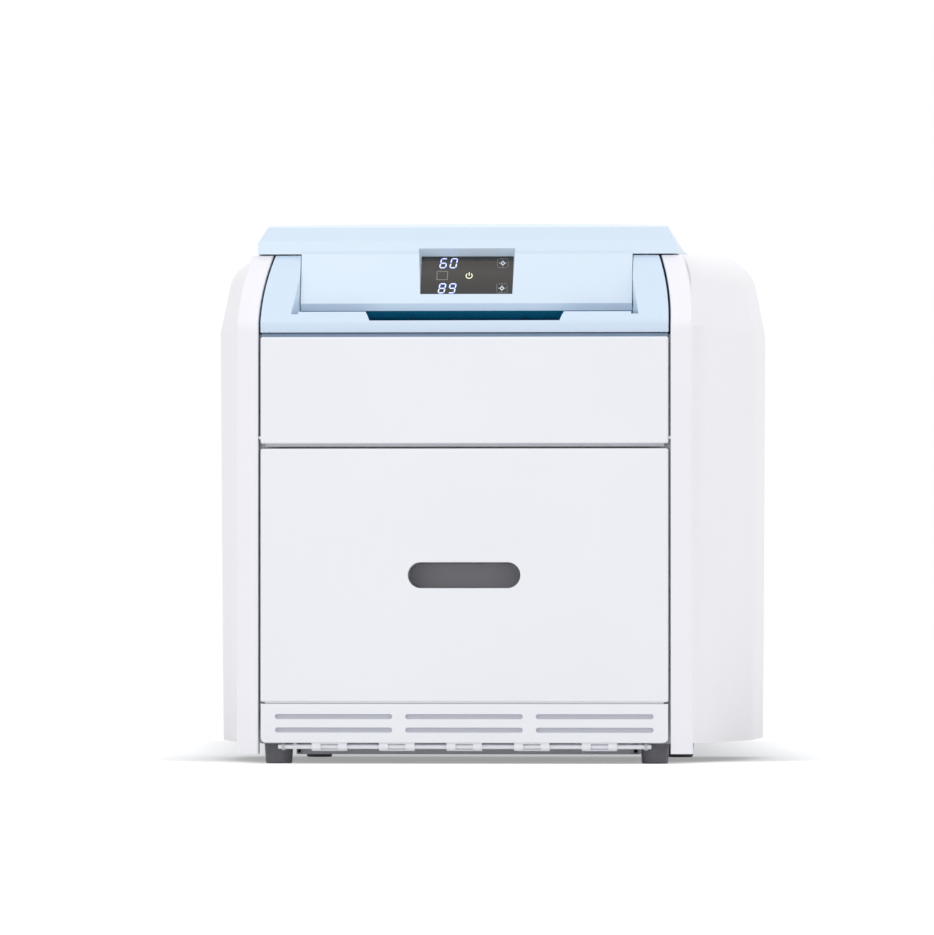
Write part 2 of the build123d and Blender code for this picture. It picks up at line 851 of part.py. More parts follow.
panel_top_z = lid_low_z + skin
panel_points = [
    (lid_front_y, panel_top_z),
    (lid_front_y, lid_low_z),
    (panel_foot_y, panel_bend_z),
    (panel_foot_y + panel_foot_back, panel_low_z),
    (panel_foot_y + panel_foot_back + skin, panel_low_z),
    (panel_foot_y + skin, panel_bend_z),
    (lid_front_y + skin, lid_low_z),
    (lid_front_y + skin, panel_top_z),
]
cheek_points = [
    (lid_front_y, panel_top_z),
    (lid_front_y, lid_low_z),
    (panel_foot_y, panel_bend_z),
    (panel_foot_y + panel_cheek, panel_bend_z),
    (lid_front_y + panel_cheek, lid_low_z),
    (lid_front_y + panel_cheek, panel_top_z),
]
tilt = math.radians(display_tilt)
display_up = Vector(0, math.sin(tilt), math.cos(tilt))
display_foot = Vector(0, lid_front_y - (lid_low_z - display_low_z) * panel_slope
                      + display_stand_off, display_low_z)
display_plane = Plane(origin=display_foot + display_up * (display_height / 2),
                      x_dir=(1, 0, 0), z_dir=(0, -math.cos(tilt), math.sin(tilt)))
seat_depth = display_glass + window_clearance
pocket_depth = seat_depth + rib_wall
behind_front = [
    (lid_front_y, lid_low_z),
    (panel_foot_y, panel_bend_z),
    (lid_front_y + bezel_depth, panel_bend_z),
    (lid_front_y + bezel_depth, brow_break_z + skin),
    (lid_front_y + brow_lean + skin, brow_break_z + skin),
    (lid_front_y + brow_lean, brow_break_z),
]


def display_rectangle(margin, depth=0.0):
    """Rectangle of the display window, grown by a margin, some depth behind its face."""
    with BuildSketch(display_plane.offset(-depth)) as outline:
        Rectangle(display_width + 2 * margin, display_height + 2 * margin)
    return outline.sketch


with BuildPart() as display_housing:
    extrude(display_rectangle(pocket_border, pocket_depth), amount=bezel_depth)
    extrude(side_outline(behind_front, -far / 2), amount=far, mode=Mode.INTERSECT)

with BuildPart() as lid_shell:
    add(lid_solid(0))
    add(lid_core, mode=Mode.SUBTRACT)
    add(lid_ribs.part)
    extrude(side_outline(panel_points, -panel_half_width), amount=2 * panel_half_width)
    for cheek_x in (-panel_half_width, panel_half_width - rib_wall):
        extrude(side_outline(cheek_points, cheek_x), amount=rib_wall)
    add(display_housing.part)
    extrude(display_rectangle(window_clearance), amount=bezel_depth, taper=-pocket_taper,
            mode=Mode.SUBTRACT)
    extrude(display_rectangle(window_clearance), amount=-seat_depth, mode=Mode.SUBTRACT)
    extrude(display_rectangle(-display_ledge), amount=-bezel_depth / 2, mode=Mode.SUBTRACT)
    for side in (-1, 1):
        lug_low = side * lid_lug_x - lid_lug_width / 2
        lug_high = lug_low + lid_lug_width
        block((lug_low, lug_high), (lid_axis_y - lid_lug_radius, lid_axis_y + lid_lug_radius),
              (lid_axis_z, lid_rear_shape[1]))
        cylinder_between((lid_axis_y, lid_axis_z), lid_lug_radius, lug_low, lug_high)
        cylinder_between((lid_axis_y, lid_axis_z), pin_radius + shaft_clearance,
                         lug_low, lug_high, mode=Mode.SUBTRACT)
save(lid_shell, "lid_shell")

with BuildPart() as display_window:
    extrude(display_rectangle(0), amount=-display_glass)
    corners = [edge for edge in display_window.edges() if abs(edge.length - display_glass) < 0.01]
    fillet(corners, window_round)
save(display_window, "display_window")

board_depth = pocket_depth + seat_gap
with BuildPart() as display_board:
    extrude(display_rectangle(0, board_depth), amount=-board_sheet)
    extrude(display_rectangle(-display_ledge - seat_gap, board_depth),
            amount=pocket_depth - seat_depth)
save(display_board, "display_board")

# Rear beam and the brackets with the lid's hinge pins
beam_high_z = lid_axis_z - lid_lug_radius - beam_drop
with BuildPart() as rear_beam:
    beam_y = (frame_rear_y - beam_depth, frame_rear_y)
    block((-side_frame_inner, side_frame_inner), beam_y, (beam_high_z - beam_height, beam_high_z))
    block((-side_frame_inner, side_frame_inner), (beam_y[0] + sheet, beam_y[1] + cut_margin),
          (beam_high_z - beam_height - cut_margin, beam_high_z - sheet), mode=Mode.SUBTRACT)
save(rear_beam, "rear_beam")

ear_gap = lid_lug_width / 2 + seat_gap
ear_outline = [
    (lid_axis_y - hinge_ear_reach, beam_high_z),
    (lid_axis_y - hinge_ear_reach + hinge_ear_foot, beam_high_z),
    (lid_axis_y, lid_axis_z - hinge_hub_radius),
    (lid_axis_y, lid_axis_z),
    (lid_axis_y - hinge_hub_radius, lid_axis_z),
]
with BuildPart() as lid_hinge_brackets:
    for side in (-1, 1):
        middle = side * lid_lug_x
        for low in (middle - ear_gap - ear_width, middle + ear_gap):
            extrude(side_outline(ear_outline, low), amount=ear_width)
            cylinder_between((lid_axis_y, lid_axis_z), hinge_hub_radius, low, low + ear_width)
        pin_half = ear_gap + ear_width + cut_margin
        cylinder_between((lid_axis_y, lid_axis_z), pin_radius, middle - pin_half,
                         middle + pin_half)
        foot_half = ear_gap + hinge_foot_border
        block((middle - foot_half, middle + foot_half),
              (lid_axis_y - hinge_hub_radius - hinge_foot_depth, lid_axis_y - hinge_hub_radius),
              (beam_high_z, beam_high_z + sheet))
save(lid_hinge_brackets, "lid_hinge_brackets")


def door_shell(low_z, height, depth, rib_xs, rib_zs):
    """Moulded door panel, open at the back, with ribs across and along it."""
    high_z = low_z + height
    rear = front_y + depth
    with BuildPart() as shell:
        block((-door_half_width, door_half_width), (front_y, rear), (low_z, high_z))
        corners = shell.edges().filter_by(Axis.Y)
        fillet(corners + shell.faces().sort_by(Axis.Y)[0].edges(), door_round)
        block((-door_half_width + skin, door_half_width - skin), (front_y + skin, rear),
              (low_z + skin, high_z - skin), mode=Mode.SUBTRACT)
        for x in rib_xs:
            block((x - rib_wall / 2, x + rib_wall / 2), (front_y + skin / 2, rear),
                  (low_z + skin / 2, high_z - skin / 2))
        for z in rib_zs:
            block((-door_half_width + skin / 2, door_half_width - skin / 2),
                  (front_y + skin / 2, rear), (z - rib_wall / 2, z + rib_wall / 2))
    return shell.part


# Upper access door, which tips forward on two pins in the pillars
jam_middle_z = jam_low_z + jam_height / 2
with BuildPart() as jam_door_panel:
    add(door_shell(jam_low_z, jam_height, jam_depth, (-jam_rib_pitch, 0, jam_rib_pitch),
                   (jam_middle_z,)))
    for side in (-1, 1):
        ends = sorted((side * door_half_width, side * (door_half_width - skin - boss_length)))
        cylinder_between((jam_axis_y, jam_axis_z), pin_radius + skin, ends[0] + boss_inset,
                         ends[1] - boss_inset)
        cylinder_between((jam_axis_y, jam_axis_z), pin_radius + shaft_clearance,
                         ends[0] - cut_margin, ends[1] + cut_margin, mode=Mode.SUBTRACT)
save(jam_door_panel, "jam_door_panel")

with BuildPart() as jam_door_pins:
    for side in (-1, 1):
        pin_ends = sorted((side * (door_half_width - skin - boss_length + cut_margin),
                           side * (pillar_inner + skin + sheet)))
        head_ends = sorted((side * (pillar_inner + skin), side * (pillar_inner + skin + sheet)))
        cylinder_between((jam_axis_y, jam_axis_z), pin_radius, *pin_ends)
        cylinder_between((jam_axis_y, jam_axis_z), pin_radius + sheet, *head_ends)
save(jam_door_pins, "jam_door_pins")

# Drawer front with its grip cup
grip_rib_x = grip_length / 2 + grip_flange + grip_rib_gap
with BuildPart() as drawer_front:
    add(door_shell(drawer_low_z, drawer_height, drawer_depth,
                   (-2 * grip_rib_x, -grip_rib_x, grip_rib_x, 2 * grip_rib_x),
                   (rail_z, grip_z + 2 * grip_height)))
    with BuildSketch(Plane.XZ.offset(-front_y)):
        with Locations((0, grip_z)):
            SlotOverall(grip_length, grip_height)
    extrude(amount=-skin, mode=Mode.SUBTRACT)
    rim = [edge for edge in drawer_front.edges()
           if abs(edge.center().Y - front_y) < 0.01
           and abs(edge.center().Z - grip_z) < grip_height
           and abs(edge.center().X) < grip_length]
    fillet(rim, skin / 3)
save(drawer_front, "drawer_front")

cup_y = front_y + skin
with BuildPart() as grip_cup:
    with BuildSketch(Plane.XZ.offset(-cup_y)):
        with Locations((0, grip_z)):
            RectangleRounded(grip_length + 2 * grip_flange, grip_height + 2 * grip_flange, grip_flange)
    extrude(amount=-sheet)
    with BuildSketch(Plane.XZ.offset(-cup_y)):
        with Locations((0, grip_z)):
            SlotOverall(grip_length + 2 * rib_wall, grip_height + 2 * rib_wall)
    extrude(amount=-grip_cup_depth, taper=cup_taper)
    with BuildSketch(Plane.XZ.offset(-cup_y)):
        with Locations((0, grip_z)):
            SlotOverall(grip_length, grip_height)
    extrude(amount=rib_wall - grip_cup_depth, taper=cup_taper, mode=Mode.SUBTRACT)
    fillet(grip_cup.faces().filter_by(Axis.Y).sort_by(Axis.Y)[-1].edges(), cup_round)
save(grip_cup, "grip_cup")

# Film tray with a low rear wall, and the film in it
tray_half_width = film_width / 2 + film_margin + sheet
with BuildPart() as film_tray:
    block((-tray_half_width, tray_half_width), (drawer_rear_y, tray_rear_y),
          (tray_low_z, tray_side_z))
    fillet(film_tray.edges().filter_by(Axis.Z), tray_corner)
    inner = tray_half_width - sheet
    block((-inner, inner), (drawer_rear_y + sheet, tray_rear_y - sheet),
          (tray_low_z + sheet, tray_side_z), mode=Mode.SUBTRACT)
    block((-inner + tray_corner, inner - tray_corner),
          (tray_rear_y - 2 * sheet, tray_rear_y + cut_margin), (tray_rear_z, tray_side_z),
          mode=Mode.SUBTRACT)
    with Locations((0, (drawer_rear_y + tray_rear_y) / 2, tray_low_z)):
        with GridLocations(film_width / tray_hole_columns, film_length / tray_hole_rows,
                           tray_hole_columns, tray_hole_rows):
            Cylinder(tray_hole_radius, 3 * sheet, mode=Mode.SUBTRACT)
save(film_tray, "film_tray")

with BuildPart() as film_pack:
    block((-film_width / 2, film_width / 2), (film_rear_y - film_length, film_rear_y),
          (film_low_z, film_top_z))
    fillet(film_pack.edges().filter_by(Axis.Z), tray_corner)
save(film_pack, "film_pack")

# Drawer rails: a channel on each side frame, and the runner on the tray inside it
rail_front_y = frame_front_y + 2 * sheet
rail_low_z = rail_z - rail_height / 2
rail_high_z = rail_z + rail_height / 2
channel_span_y = (rail_front_y, tray_rear_y + outer_rail_overrun)
runner_span_y = (rail_front_y, tray_rear_y - inner_rail_inset)
channel_x = side_frame_inner - outer_rail_width
runner_low_z = rail_low_z + rail_sheet + seat_gap
runner_high_z = rail_high_z - rail_sheet - seat_gap
runner_x = side_frame_inner - rail_sheet - seat_gap
with BuildPart() as right_outer_rail:
    block((channel_x, side_frame_inner), channel_span_y, (rail_low_z, rail_high_z))
    block((channel_x - cut_margin, side_frame_inner - rail_sheet), channel_span_y,
          (rail_low_z + rail_sheet, rail_high_z - rail_sheet), mode=Mode.SUBTRACT)
save(right_outer_rail, "right_outer_rail")

with BuildPart() as right_inner_rail:
    block((tray_half_width, runner_x), runner_span_y, (runner_low_z, runner_high_z))
    block((tray_half_width + rail_sheet, runner_x + cut_margin), runner_span_y,
          (runner_low_z + rail_sheet, runner_high_z - rail_sheet), mode=Mode.SUBTRACT)
save(right_inner_rail, "right_inner_rail")

with BuildPart() as left_outer_rail:
    mirror(right_outer_rail.part, about=Plane.YZ)
save(left_outer_rail, "left_outer_rail")

with BuildPart() as left_inner_rail:
    mirror(right_inner_rail.part, about=Plane.YZ)
save(left_inner_rail, "left_inner_rail")

# Ventilation flap: slotted skin with knuckles that wrap the hinge rod
flap_half_width = door_half_width - seat_gap
flap_rear_y = front_y + flap_depth
flap_top_z = flap_low_z + flap_height
with BuildPart() as vent_flap:
    block((-flap_half_width, flap_half_width), (front_y, flap_rear_y), (flap_low_z, flap_top_z))
    fillet(vent_flap.edges().filter_by(Axis.Y).group_by(Axis.Z)[0], flap_corner)
    fillet(vent_flap.faces().sort_by(Axis.Y)[0].edges(), door_round / 2)
    block((-flap_half_width + flap_corner, flap_half_width - flap_corner),
          (front_y + skin, flap_rear_y), (flap_low_z + skin, flap_top_z - skin),
          mode=Mode.SUBTRACT)
    for x in (-slot_pitch / 2, slot_pitch / 2):
        block((x - rib_wall / 2, x + rib_wall / 2), (front_y + skin / 2, flap_rear_y),
              (flap_low_z + skin / 2, flap_top_z - skin / 2))
    with BuildSketch(Plane.XZ.offset(-front_y)):
        with Locations((0, slot_centre_z)):
            with GridLocations(slot_pitch, slot_rows_pitch, slot_columns, slot_rows):
                SlotOverall(slot_length, slot_height)
    extrude(amount=-skin, mode=Mode.SUBTRACT)
    knuckle_middles = [(index - (knuckle_count - 1) / 2) * knuckle_pitch
                       for index in range(knuckle_count)]
    for middle in knuckle_middles:
        low, high = middle - knuckle_width / 2, middle + knuckle_width / 2
        block((low, high), (rod_y - knuckle_radius, rod_y + knuckle_radius),
              (rod_z, flap_low_z + skin / 2))
        cylinder_between((rod_y, rod_z), knuckle_radius, low, high)
        cylinder_between((rod_y, rod_z), rod_radius + shaft_clearance, low, high,
                         mode=Mode.SUBTRACT)
        block((middle - window_width / 2, middle + window_width / 2), (front_y, rod_y),
              (rod_z - window_height / 2, rod_z + window_height / 2), mode=Mode.SUBTRACT)
save(vent_flap, "vent_flap")

with BuildPart() as hinge_rod:
    cylinder_between((rod_y, rod_z), rod_radius, -rod_length / 2, rod_length / 2)
    fillet(hinge_rod.edges(), rod_round)
save(hinge_rod, "hinge_rod")

# Intake filter: a frame around a ribbed sheet, standing on the base pan's rim
filter_y = (frame_front_y, frame_front_y + filter_depth)
filter_z = (pan_top_z, flap_top_z - skin - seat_gap)
with BuildPart() as intake_filter:
    block((-filter_half_width, filter_half_width), filter_y, filter_z)
    window_x = filter_half_width - filter_border
    window_z = (filter_z[0] + filter_border, filter_z[1] - filter_border)
    block((-window_x, window_x), filter_y, window_z, mode=Mode.SUBTRACT)
    middle_y = sum(filter_y) / 2
    block((-window_x, window_x), (middle_y - sheet / 2, middle_y + sheet / 2), window_z)
    with Locations((0, middle_y, sum(window_z) / 2)):
        with GridLocations(filter_pitch, 0, int(2 * window_x / filter_pitch), 1):
            Box(rib_wall, filter_depth - sheet, window_z[1] - window_z[0])
save(intake_filter, "intake_filter")

# Optics deck with the sealed exposure unit on it
deck_front_y = front_y + deck_front_setback
deck_rear_y = feed_y - roller_radius - deck_gap
with BuildPart() as optics_deck:
    block((-side_frame_inner, side_frame_inner), (deck_front_y, deck_rear_y),
          (deck_z - deck_flange, deck_z + frame_sheet))
    block((-side_frame_inner + frame_sheet, side_frame_inner - frame_sheet),
          (deck_front_y + frame_sheet, deck_rear_y - frame_sheet),
          (deck_z - deck_flange, deck_z), mode=Mode.SUBTRACT)
save(optics_deck, "optics_deck")

deck_top_z = deck_z + frame_sheet
exposure_top_z = deck_top_z + exposure_height
exposure_rear_y = deck_rear_y - exposure_inset
exposure_front_y = exposure_rear_y - exposure_length
with BuildPart() as exposure_unit:
    block((-exposure_half_width, exposure_half_width), (exposure_front_y, exposure_rear_y),
          (deck_top_z, exposure_top_z))
    chamfer(exposure_unit.faces().sort_by(Axis.Z)[-1].edges(), frame_sheet)
    slot_z = (exposure_top_z - 3 * exposure_slot, exposure_top_z - 2 * exposure_slot)
    block((-film_width / 2 + film_margin, film_width / 2 - film_margin - 2 * exposure_slot),
          (exposure_rear_y - 2 * exposure_slot, exposure_rear_y + cut_margin), slot_z,
          mode=Mode.SUBTRACT)
    with Locations((0, (exposure_front_y + exposure_rear_y) / 2, exposure_top_z)):
        with GridLocations(fin_pitch, 0, fin_count, 1):
            Box(frame_sheet, fin_length, 2 * frame_sheet)
save(exposure_unit, "exposure_unit")

# Pick-up roller over the rear of the film, hung from the deck
pickup_z = film_top_z + pickup_radius + pickup_lift
pickup_place = (pickup_y, pickup_z)
arm_low_z = pickup_z - 2 * shaft_radius
with BuildPart() as pickup_bracket:
    block((-pickup_arm_x - sheet, pickup_arm_x + sheet),
          (pickup_y - pickup_width, pickup_y + pickup_width), (deck_z - sheet, deck_z))
    for side in (-1, 1):
        arm_x = sorted((side * pickup_arm_x, side * (pickup_arm_x + sheet)))
        block(arm_x, (pickup_y - pickup_radius, pickup_y + pickup_radius), (arm_low_z, deck_z))
        cylinder_between(pickup_place, shaft_radius + shaft_clearance, *arm_x, mode=Mode.SUBTRACT)
save(pickup_bracket, "pickup_bracket")

tyre_low = (pickup_pitch - pickup_width) / 2
tyre_high = tyre_low + pickup_width
pickup_end = pickup_arm_x + sheet + skin
right_half = [(tyre_low, shaft_radius + sheet), (tyre_low, pickup_radius),
              (tyre_high, pickup_radius), (tyre_high, shaft_radius),
              (pickup_end, shaft_radius)]
left_half = [(-x, radius) for x, radius in reversed(right_half)]
pickup_roller = turned(pickup_place, [(-pickup_end, 0), *left_half, *right_half, (pickup_end, 0)])
save(pickup_roller, "pickup_roller")


def roller(place, radius, low_end, high_end, band=0.0):
    """Roller with a shaft on both ends; a band leaves two shallow grooves in its face."""
    half = roller_length / 2
    face = [(-half, radius), (half, radius)]
    if band > 0:
        groove = radius - band
        face = [(-half, radius)]
        for middle in (-half / 3, half / 3):
            low, high = middle - groove_width / 2, middle + groove_width / 2
            face += [(low, radius), (low, groove), (high, groove), (high, radius)]
        face += [(half, radius)]
    return turned(place, [(low_end, 0), (low_end, shaft_radius), (-half, shaft_radius), *face,
                          (half, shaft_radius), (high_end, shaft_radius), (high_end, 0)])


shaft_end = side_frame_outer + bearing_length / 2
pulley_low = shaft_end + pulley_gap
pulley_high = pulley_low + belt_width + 2 * pulley_flange + pulley_gap
pulley_end = pulley_high
exit_roller = roller(exit_place, roller_radius, -pulley_end, shaft_end, band=1.0)
save(exit_roller, "exit_roller")
exit_pinch_roller = roller(exit_pinch_place, roller_radius, -shaft_end, shaft_end, band=1.0)
save(exit_pinch_roller, "exit_pinch_roller")
feed_roller = roller(feed_place, roller_radius, -pulley_end, shaft_end, band=1.0)
save(feed_roller, "feed_roller")
feed_pinch_roller = roller(feed_pinch_place, roller_radius, -shaft_end, shaft_end, band=1.0)
save(feed_pinch_roller, "feed_pinch_roller")
drum_pinch_roller_1 = roller(pinch_places[0], pinch_radius, -shaft_end, shaft_end)
save(drum_pinch_roller_1, "drum_pinch_roller_1")
drum_pinch_roller_2 = roller(pinch_places[1], pinch_radius, -shaft_end, shaft_end)
save(drum_pinch_roller_2, "drum_pinch_roller_2")

# Heat drum: a thick tube with end walls on stub shafts
drum_half = drum_length / 2
drum_end = pulley_end + pulley_gap
drum_inner = drum_radius - drum_wall
heat_drum = turned(drum_place, [
    (-drum_end, 0), (-drum_end, drum_shaft_radius), (-drum_half, drum_shaft_radius),
    (-drum_half, drum_radius), (drum_half, drum_radius), (drum_half, drum_shaft_radius),
    (drum_end, drum_shaft_radius), (drum_end, 0), (drum_half - drum_wall, 0),
    (drum_half - drum_wall, drum_inner), (-drum_half + drum_wall, drum_inner),
    (-drum_half + drum_wall, 0),
])
save(heat_drum, "heat_drum")


def arc_shell(inner, outer, angles, steps=18):
    """Side outline of a curved plate around the drum between two angles."""
    spread = [math.radians(angles[0] + (angles[1] - angles[0]) * step / steps)
              for step in range(steps + 1)]
    outside = [(drum_y + outer * math.cos(a), drum_z + outer * math.sin(a)) for a in spread]
    inside = [(drum_y + inner * math.cos(a), drum_z + inner * math.sin(a)) for a in spread]
    return outside + inside[::-1]


# Insulated cover over the drum, and the ribbed guide plate where the film cools
cover_reach = side_frame_inner - seat_gap
with BuildPart() as drum_cover:
    extrude(side_outline(arc_shell(cover_radius, cover_radius + 2 * sheet, cover_angles),
                         -cover_reach), amount=2 * cover_reach)
    for index in (-1, 0, 1):
        rib_x = index * cover_reach / 2
        extrude(side_outline(arc_shell(cover_radius + sheet, cover_radius + 4 * sheet,
                                       cover_angles), rib_x - rib_wall / 2), amount=rib_wall)
save(drum_cover, "drum_cover")

guide_start = (drum_y - guide_reach, drum_z + guide_rise)
guide_end = (exit_y + roller_radius + guide_gap, exit_z + roller_radius - nip_gap)
guide_points = [guide_start, guide_end, (guide_end[0], guide_end[1] - sheet),
                (guide_start[0], guide_start[1] - sheet)]
guide_rib_points = [(guide_start[0], guide_start[1] + sheet),
                    (guide_end[0], guide_end[1] + sheet / 2),
                    (guide_end[0], guide_end[1] - sheet / 2),
                    (guide_start[0], guide_start[1] - sheet / 2)]
guide_side_points = [guide_start, guide_end, (guide_end[0], guide_end[1] - guide_flange),
                     (guide_start[0], guide_start[1] - guide_flange)]
with BuildPart() as cooling_guide:
    extrude(side_outline(guide_points, -cover_reach), amount=2 * cover_reach)
    for index in range(guide_ribs):
        rib_x = (index - (guide_ribs - 1) / 2) * film_width / guide_ribs
        extrude(side_outline(guide_rib_points, rib_x - rib_wall / 2), amount=rib_wall)
    for side_x in (-cover_reach, cover_reach - sheet):
        extrude(side_outline(guide_side_points, side_x), amount=sheet)
save(cooling_guide, "cooling_guide")

# Belt drive on the left: three flanged pulleys and the belt around them
drum_pulley_radius = drum_pulley_teeth * belt_pitch / (2 * math.pi)
roller_pulley_radius = roller_pulley_teeth * belt_pitch / (2 * math.pi)


def pulley(place, radius, bore):
    """Flanged pulley for the belt, on the left."""
    near, far_side = -pulley_low, -pulley_high
    rim = radius + belt_thickness + pulley_rim
    return turned(place, [
        (far_side, bore), (far_side, rim), (far_side + pulley_flange, rim),
        (far_side + pulley_flange, radius), (near - pulley_flange, radius),
        (near - pulley_flange, rim), (near, rim), (near, bore),
    ])


drum_pulley = pulley(drum_place, drum_pulley_radius, drum_shaft_radius + shaft_clearance)
save(drum_pulley, "drum_pulley")
exit_pulley = pulley(exit_place, roller_pulley_radius, shaft_radius + shaft_clearance)
save(exit_pulley, "exit_pulley")
feed_pulley = pulley(feed_place, roller_pulley_radius, shaft_radius + shaft_clearance)
save(feed_pulley, "feed_pulley")

belt_low_x = -pulley_low - pulley_flange - belt_width - pulley_gap / 2
loops = [(drum_place, drum_pulley_radius), (exit_place, roller_pulley_radius),
         (feed_place, roller_pulley_radius)]


def belt_loop(margin):
    """Outline around the three pulleys, a margin outside their faces."""
    with BuildSketch(Plane.YZ.offset(belt_low_x)) as loop:
        for place, radius in loops:
            with Locations(place):
                Circle(radius + margin)
        make_hull()
    return loop.sketch


with BuildPart() as timing_belt:
    extrude(belt_loop(belt_gap + belt_thickness), amount=belt_width)
    extrude(belt_loop(belt_gap), amount=belt_width, mode=Mode.SUBTRACT)
save(timing_belt, "timing_belt")


def gear_outline(place, teeth, x, first_tooth_angle):
    """Involute gear outline facing +X, with the middle of one tooth at the given angle."""
    pitch = gear_module * teeth / 2
    base = pitch * math.cos(math.radians(pressure_angle))
    root = pitch - tooth_root * gear_module
    tip = pitch + tooth_tip * gear_module
    at_pitch = math.sqrt(pitch**2 - base**2) / base
    half_tooth = math.pi / (2 * teeth) + at_pitch - math.atan(at_pitch)
    flank = []
    for radius in (max(base, root), (base + pitch) / 2, pitch, (pitch + tip) / 2, tip):
        roll = math.sqrt(max(radius**2 - base**2, 0)) / base
        flank.append((radius, half_tooth - roll + math.atan(roll)))
    if root < base:
        flank.insert(0, (root, half_tooth))
    points = []
    for index in range(teeth):
        middle = math.radians(first_tooth_angle) + 2 * math.pi * index / teeth
        sides = [(radius, middle - angle) for radius, angle in flank]
        sides += [(radius, middle + angle) for radius, angle in reversed(flank)]
        points += [(place[0] + radius * math.cos(angle), place[1] + radius * math.sin(angle))
                   for radius, angle in sides]
    return side_outline(points, x)


# Gear drive on the right: motor on a plate with three legs, pinion and drum gear
gear_low_x = side_frame_outer + gear_offset
gear_distance = gear_module * (drum_teeth + pinion_teeth) / 2 + gear_backlash
motor_place = (drum_y + gear_distance * math.cos(math.radians(motor_angle)),
               drum_z + gear_distance * math.sin(math.radians(motor_angle)))
with BuildPart() as drum_gear:
    extrude(gear_outline(drum_place, drum_teeth, gear_low_x, motor_angle), amount=gear_width)
    with Locations(Location((gear_low_x + gear_width / 2, drum_y, drum_z), (0, 90, 0))):
        with PolarLocations(gear_hole_orbit, gear_holes):
            Cylinder(gear_hole_radius, gear_width + cut_margin, mode=Mode.SUBTRACT)
    cylinder_between(drum_place, drum_shaft_radius + shaft_clearance, gear_low_x,
                     gear_low_x + gear_width, mode=Mode.SUBTRACT)
save(drum_gear, "drum_gear")

plate_low_x = gear_low_x + gear_width + gear_offset
plate_high_x = plate_low_x + bracket_sheet
gap_angle = motor_angle + 180 + 180 / pinion_teeth
with BuildPart() as motor_pinion:
    extrude(gear_outline(motor_place, pinion_teeth, gear_low_x, gap_angle), amount=gear_width)
    cylinder_between(motor_place, motor_shaft_radius, gear_low_x, plate_high_x + motor_length / 2)
save(motor_pinion, "motor_pinion")

leg_reach = bracket_reach - bracket_leg_radius - sheet
with BuildPart() as motor_bracket:
    middle_y, middle_z = motor_place
    block((plate_low_x, plate_high_x), (middle_y - bracket_reach, middle_y + bracket_reach),
          (middle_z - bracket_reach, middle_z + bracket_reach))
    fillet(motor_bracket.edges().filter_by(Axis.X), bracket_leg_radius)
    for step_y, step_z in ((-1, -1), (1, -1), (1, 1)):
        leg = (middle_y + step_y * leg_reach, middle_z + step_z * leg_reach)
        cylinder_between(leg, bracket_leg_radius, side_frame_outer, plate_low_x)
    cylinder_between(motor_place, motor_pilot_radius + seat_gap, plate_low_x, plate_high_x,
                     mode=Mode.SUBTRACT)
save(motor_bracket, "motor_bracket")

motor_high_x = plate_high_x + motor_length
bore_end_x = plate_high_x + motor_length / 2 + cut_margin
bore = motor_shaft_radius + shaft_clearance
drive_motor = turned(motor_place, [
    (plate_low_x, bore), (plate_low_x, motor_pilot_radius), (plate_high_x, motor_pilot_radius),
    (plate_high_x, motor_radius), (motor_high_x - sheet, motor_radius),
    (motor_high_x, motor_radius - sheet), (motor_high_x, 0), (bore_end_x, 0), (bore_end_x, bore),
])
save(drive_motor, "drive_motor")

# Control board on four standoffs, left side
board_x = (-side_frame_outer - board_lift - board_sheet, -side_frame_outer - board_lift)
board_span_y = (front_y + board_setback, front_y + board_setback + board_length)
board_span_z = (board_low_z, board_low_z + board_height)
board_middle = (board_x[0], sum(board_span_y) / 2, sum(board_span_z) / 2)
board_face = Plane(origin=board_middle, x_dir=(0, -1, 0), z_dir=(-1, 0, 0))
with BuildPart() as control_board:
    block(board_x, board_span_y, board_span_z)
    with Locations(board_face):
        for place_x, place_z, wide, high, thick in board_chips:
            with Locations((place_x, place_z, thick / 2)):
                Box(wide, high, thick)
        with GridLocations(*can_pitch, 2, 2):
            Cylinder(can_radius, can_height, align=(Align.CENTER, Align.CENTER, Align.MIN))
    for place_y in (board_span_y[0] + standoff_inset, board_span_y[1] - standoff_inset):
        for place_z in (board_span_z[0] + standoff_inset, board_span_z[1] - standoff_inset):
            cylinder_between((place_y, place_z), standoff_radius, board_x[1], -side_frame_outer)
save(control_board, "control_board")

# Power supply on the right side frame
supply_x = (side_frame_outer, side_frame_outer + supply_width)
supply_rear_y = rear_y - supply_rear_setback
supply_span_y = (supply_rear_y - supply_length, supply_rear_y)
supply_span_z = (supply_low_z, supply_low_z + supply_height)
with BuildPart() as power_supply:
    block(supply_x, supply_span_y, supply_span_z)
    block((supply_x[0], supply_x[1] - sheet), (supply_span_y[0] + sheet, supply_span_y[1] - sheet),
          (supply_span_z[0] + sheet, supply_span_z[1] - sheet), mode=Mode.SUBTRACT)
    vent_face = Plane(origin=(supply_x[1], sum(supply_span_y) / 2, sum(supply_span_z) / 2),
                      x_dir=(0, 1, 0), z_dir=(1, 0, 0))
    with BuildSketch(vent_face):
        with GridLocations(*vent_pitch, vent_columns, vent_rows):
            SlotOverall(vent_length, vent_height, rotation=90)
    extrude(amount=-sheet, mode=Mode.SUBTRACT)
    for place_y in (supply_span_y[0] + coil_insets[0], supply_span_y[1] - coil_insets[1]):
        cylinder_between((place_y, sum(supply_span_z) / 2), coil_radius, supply_x[0],
                         supply_x[1] - coil_gap)
save(power_supply, "power_supply")

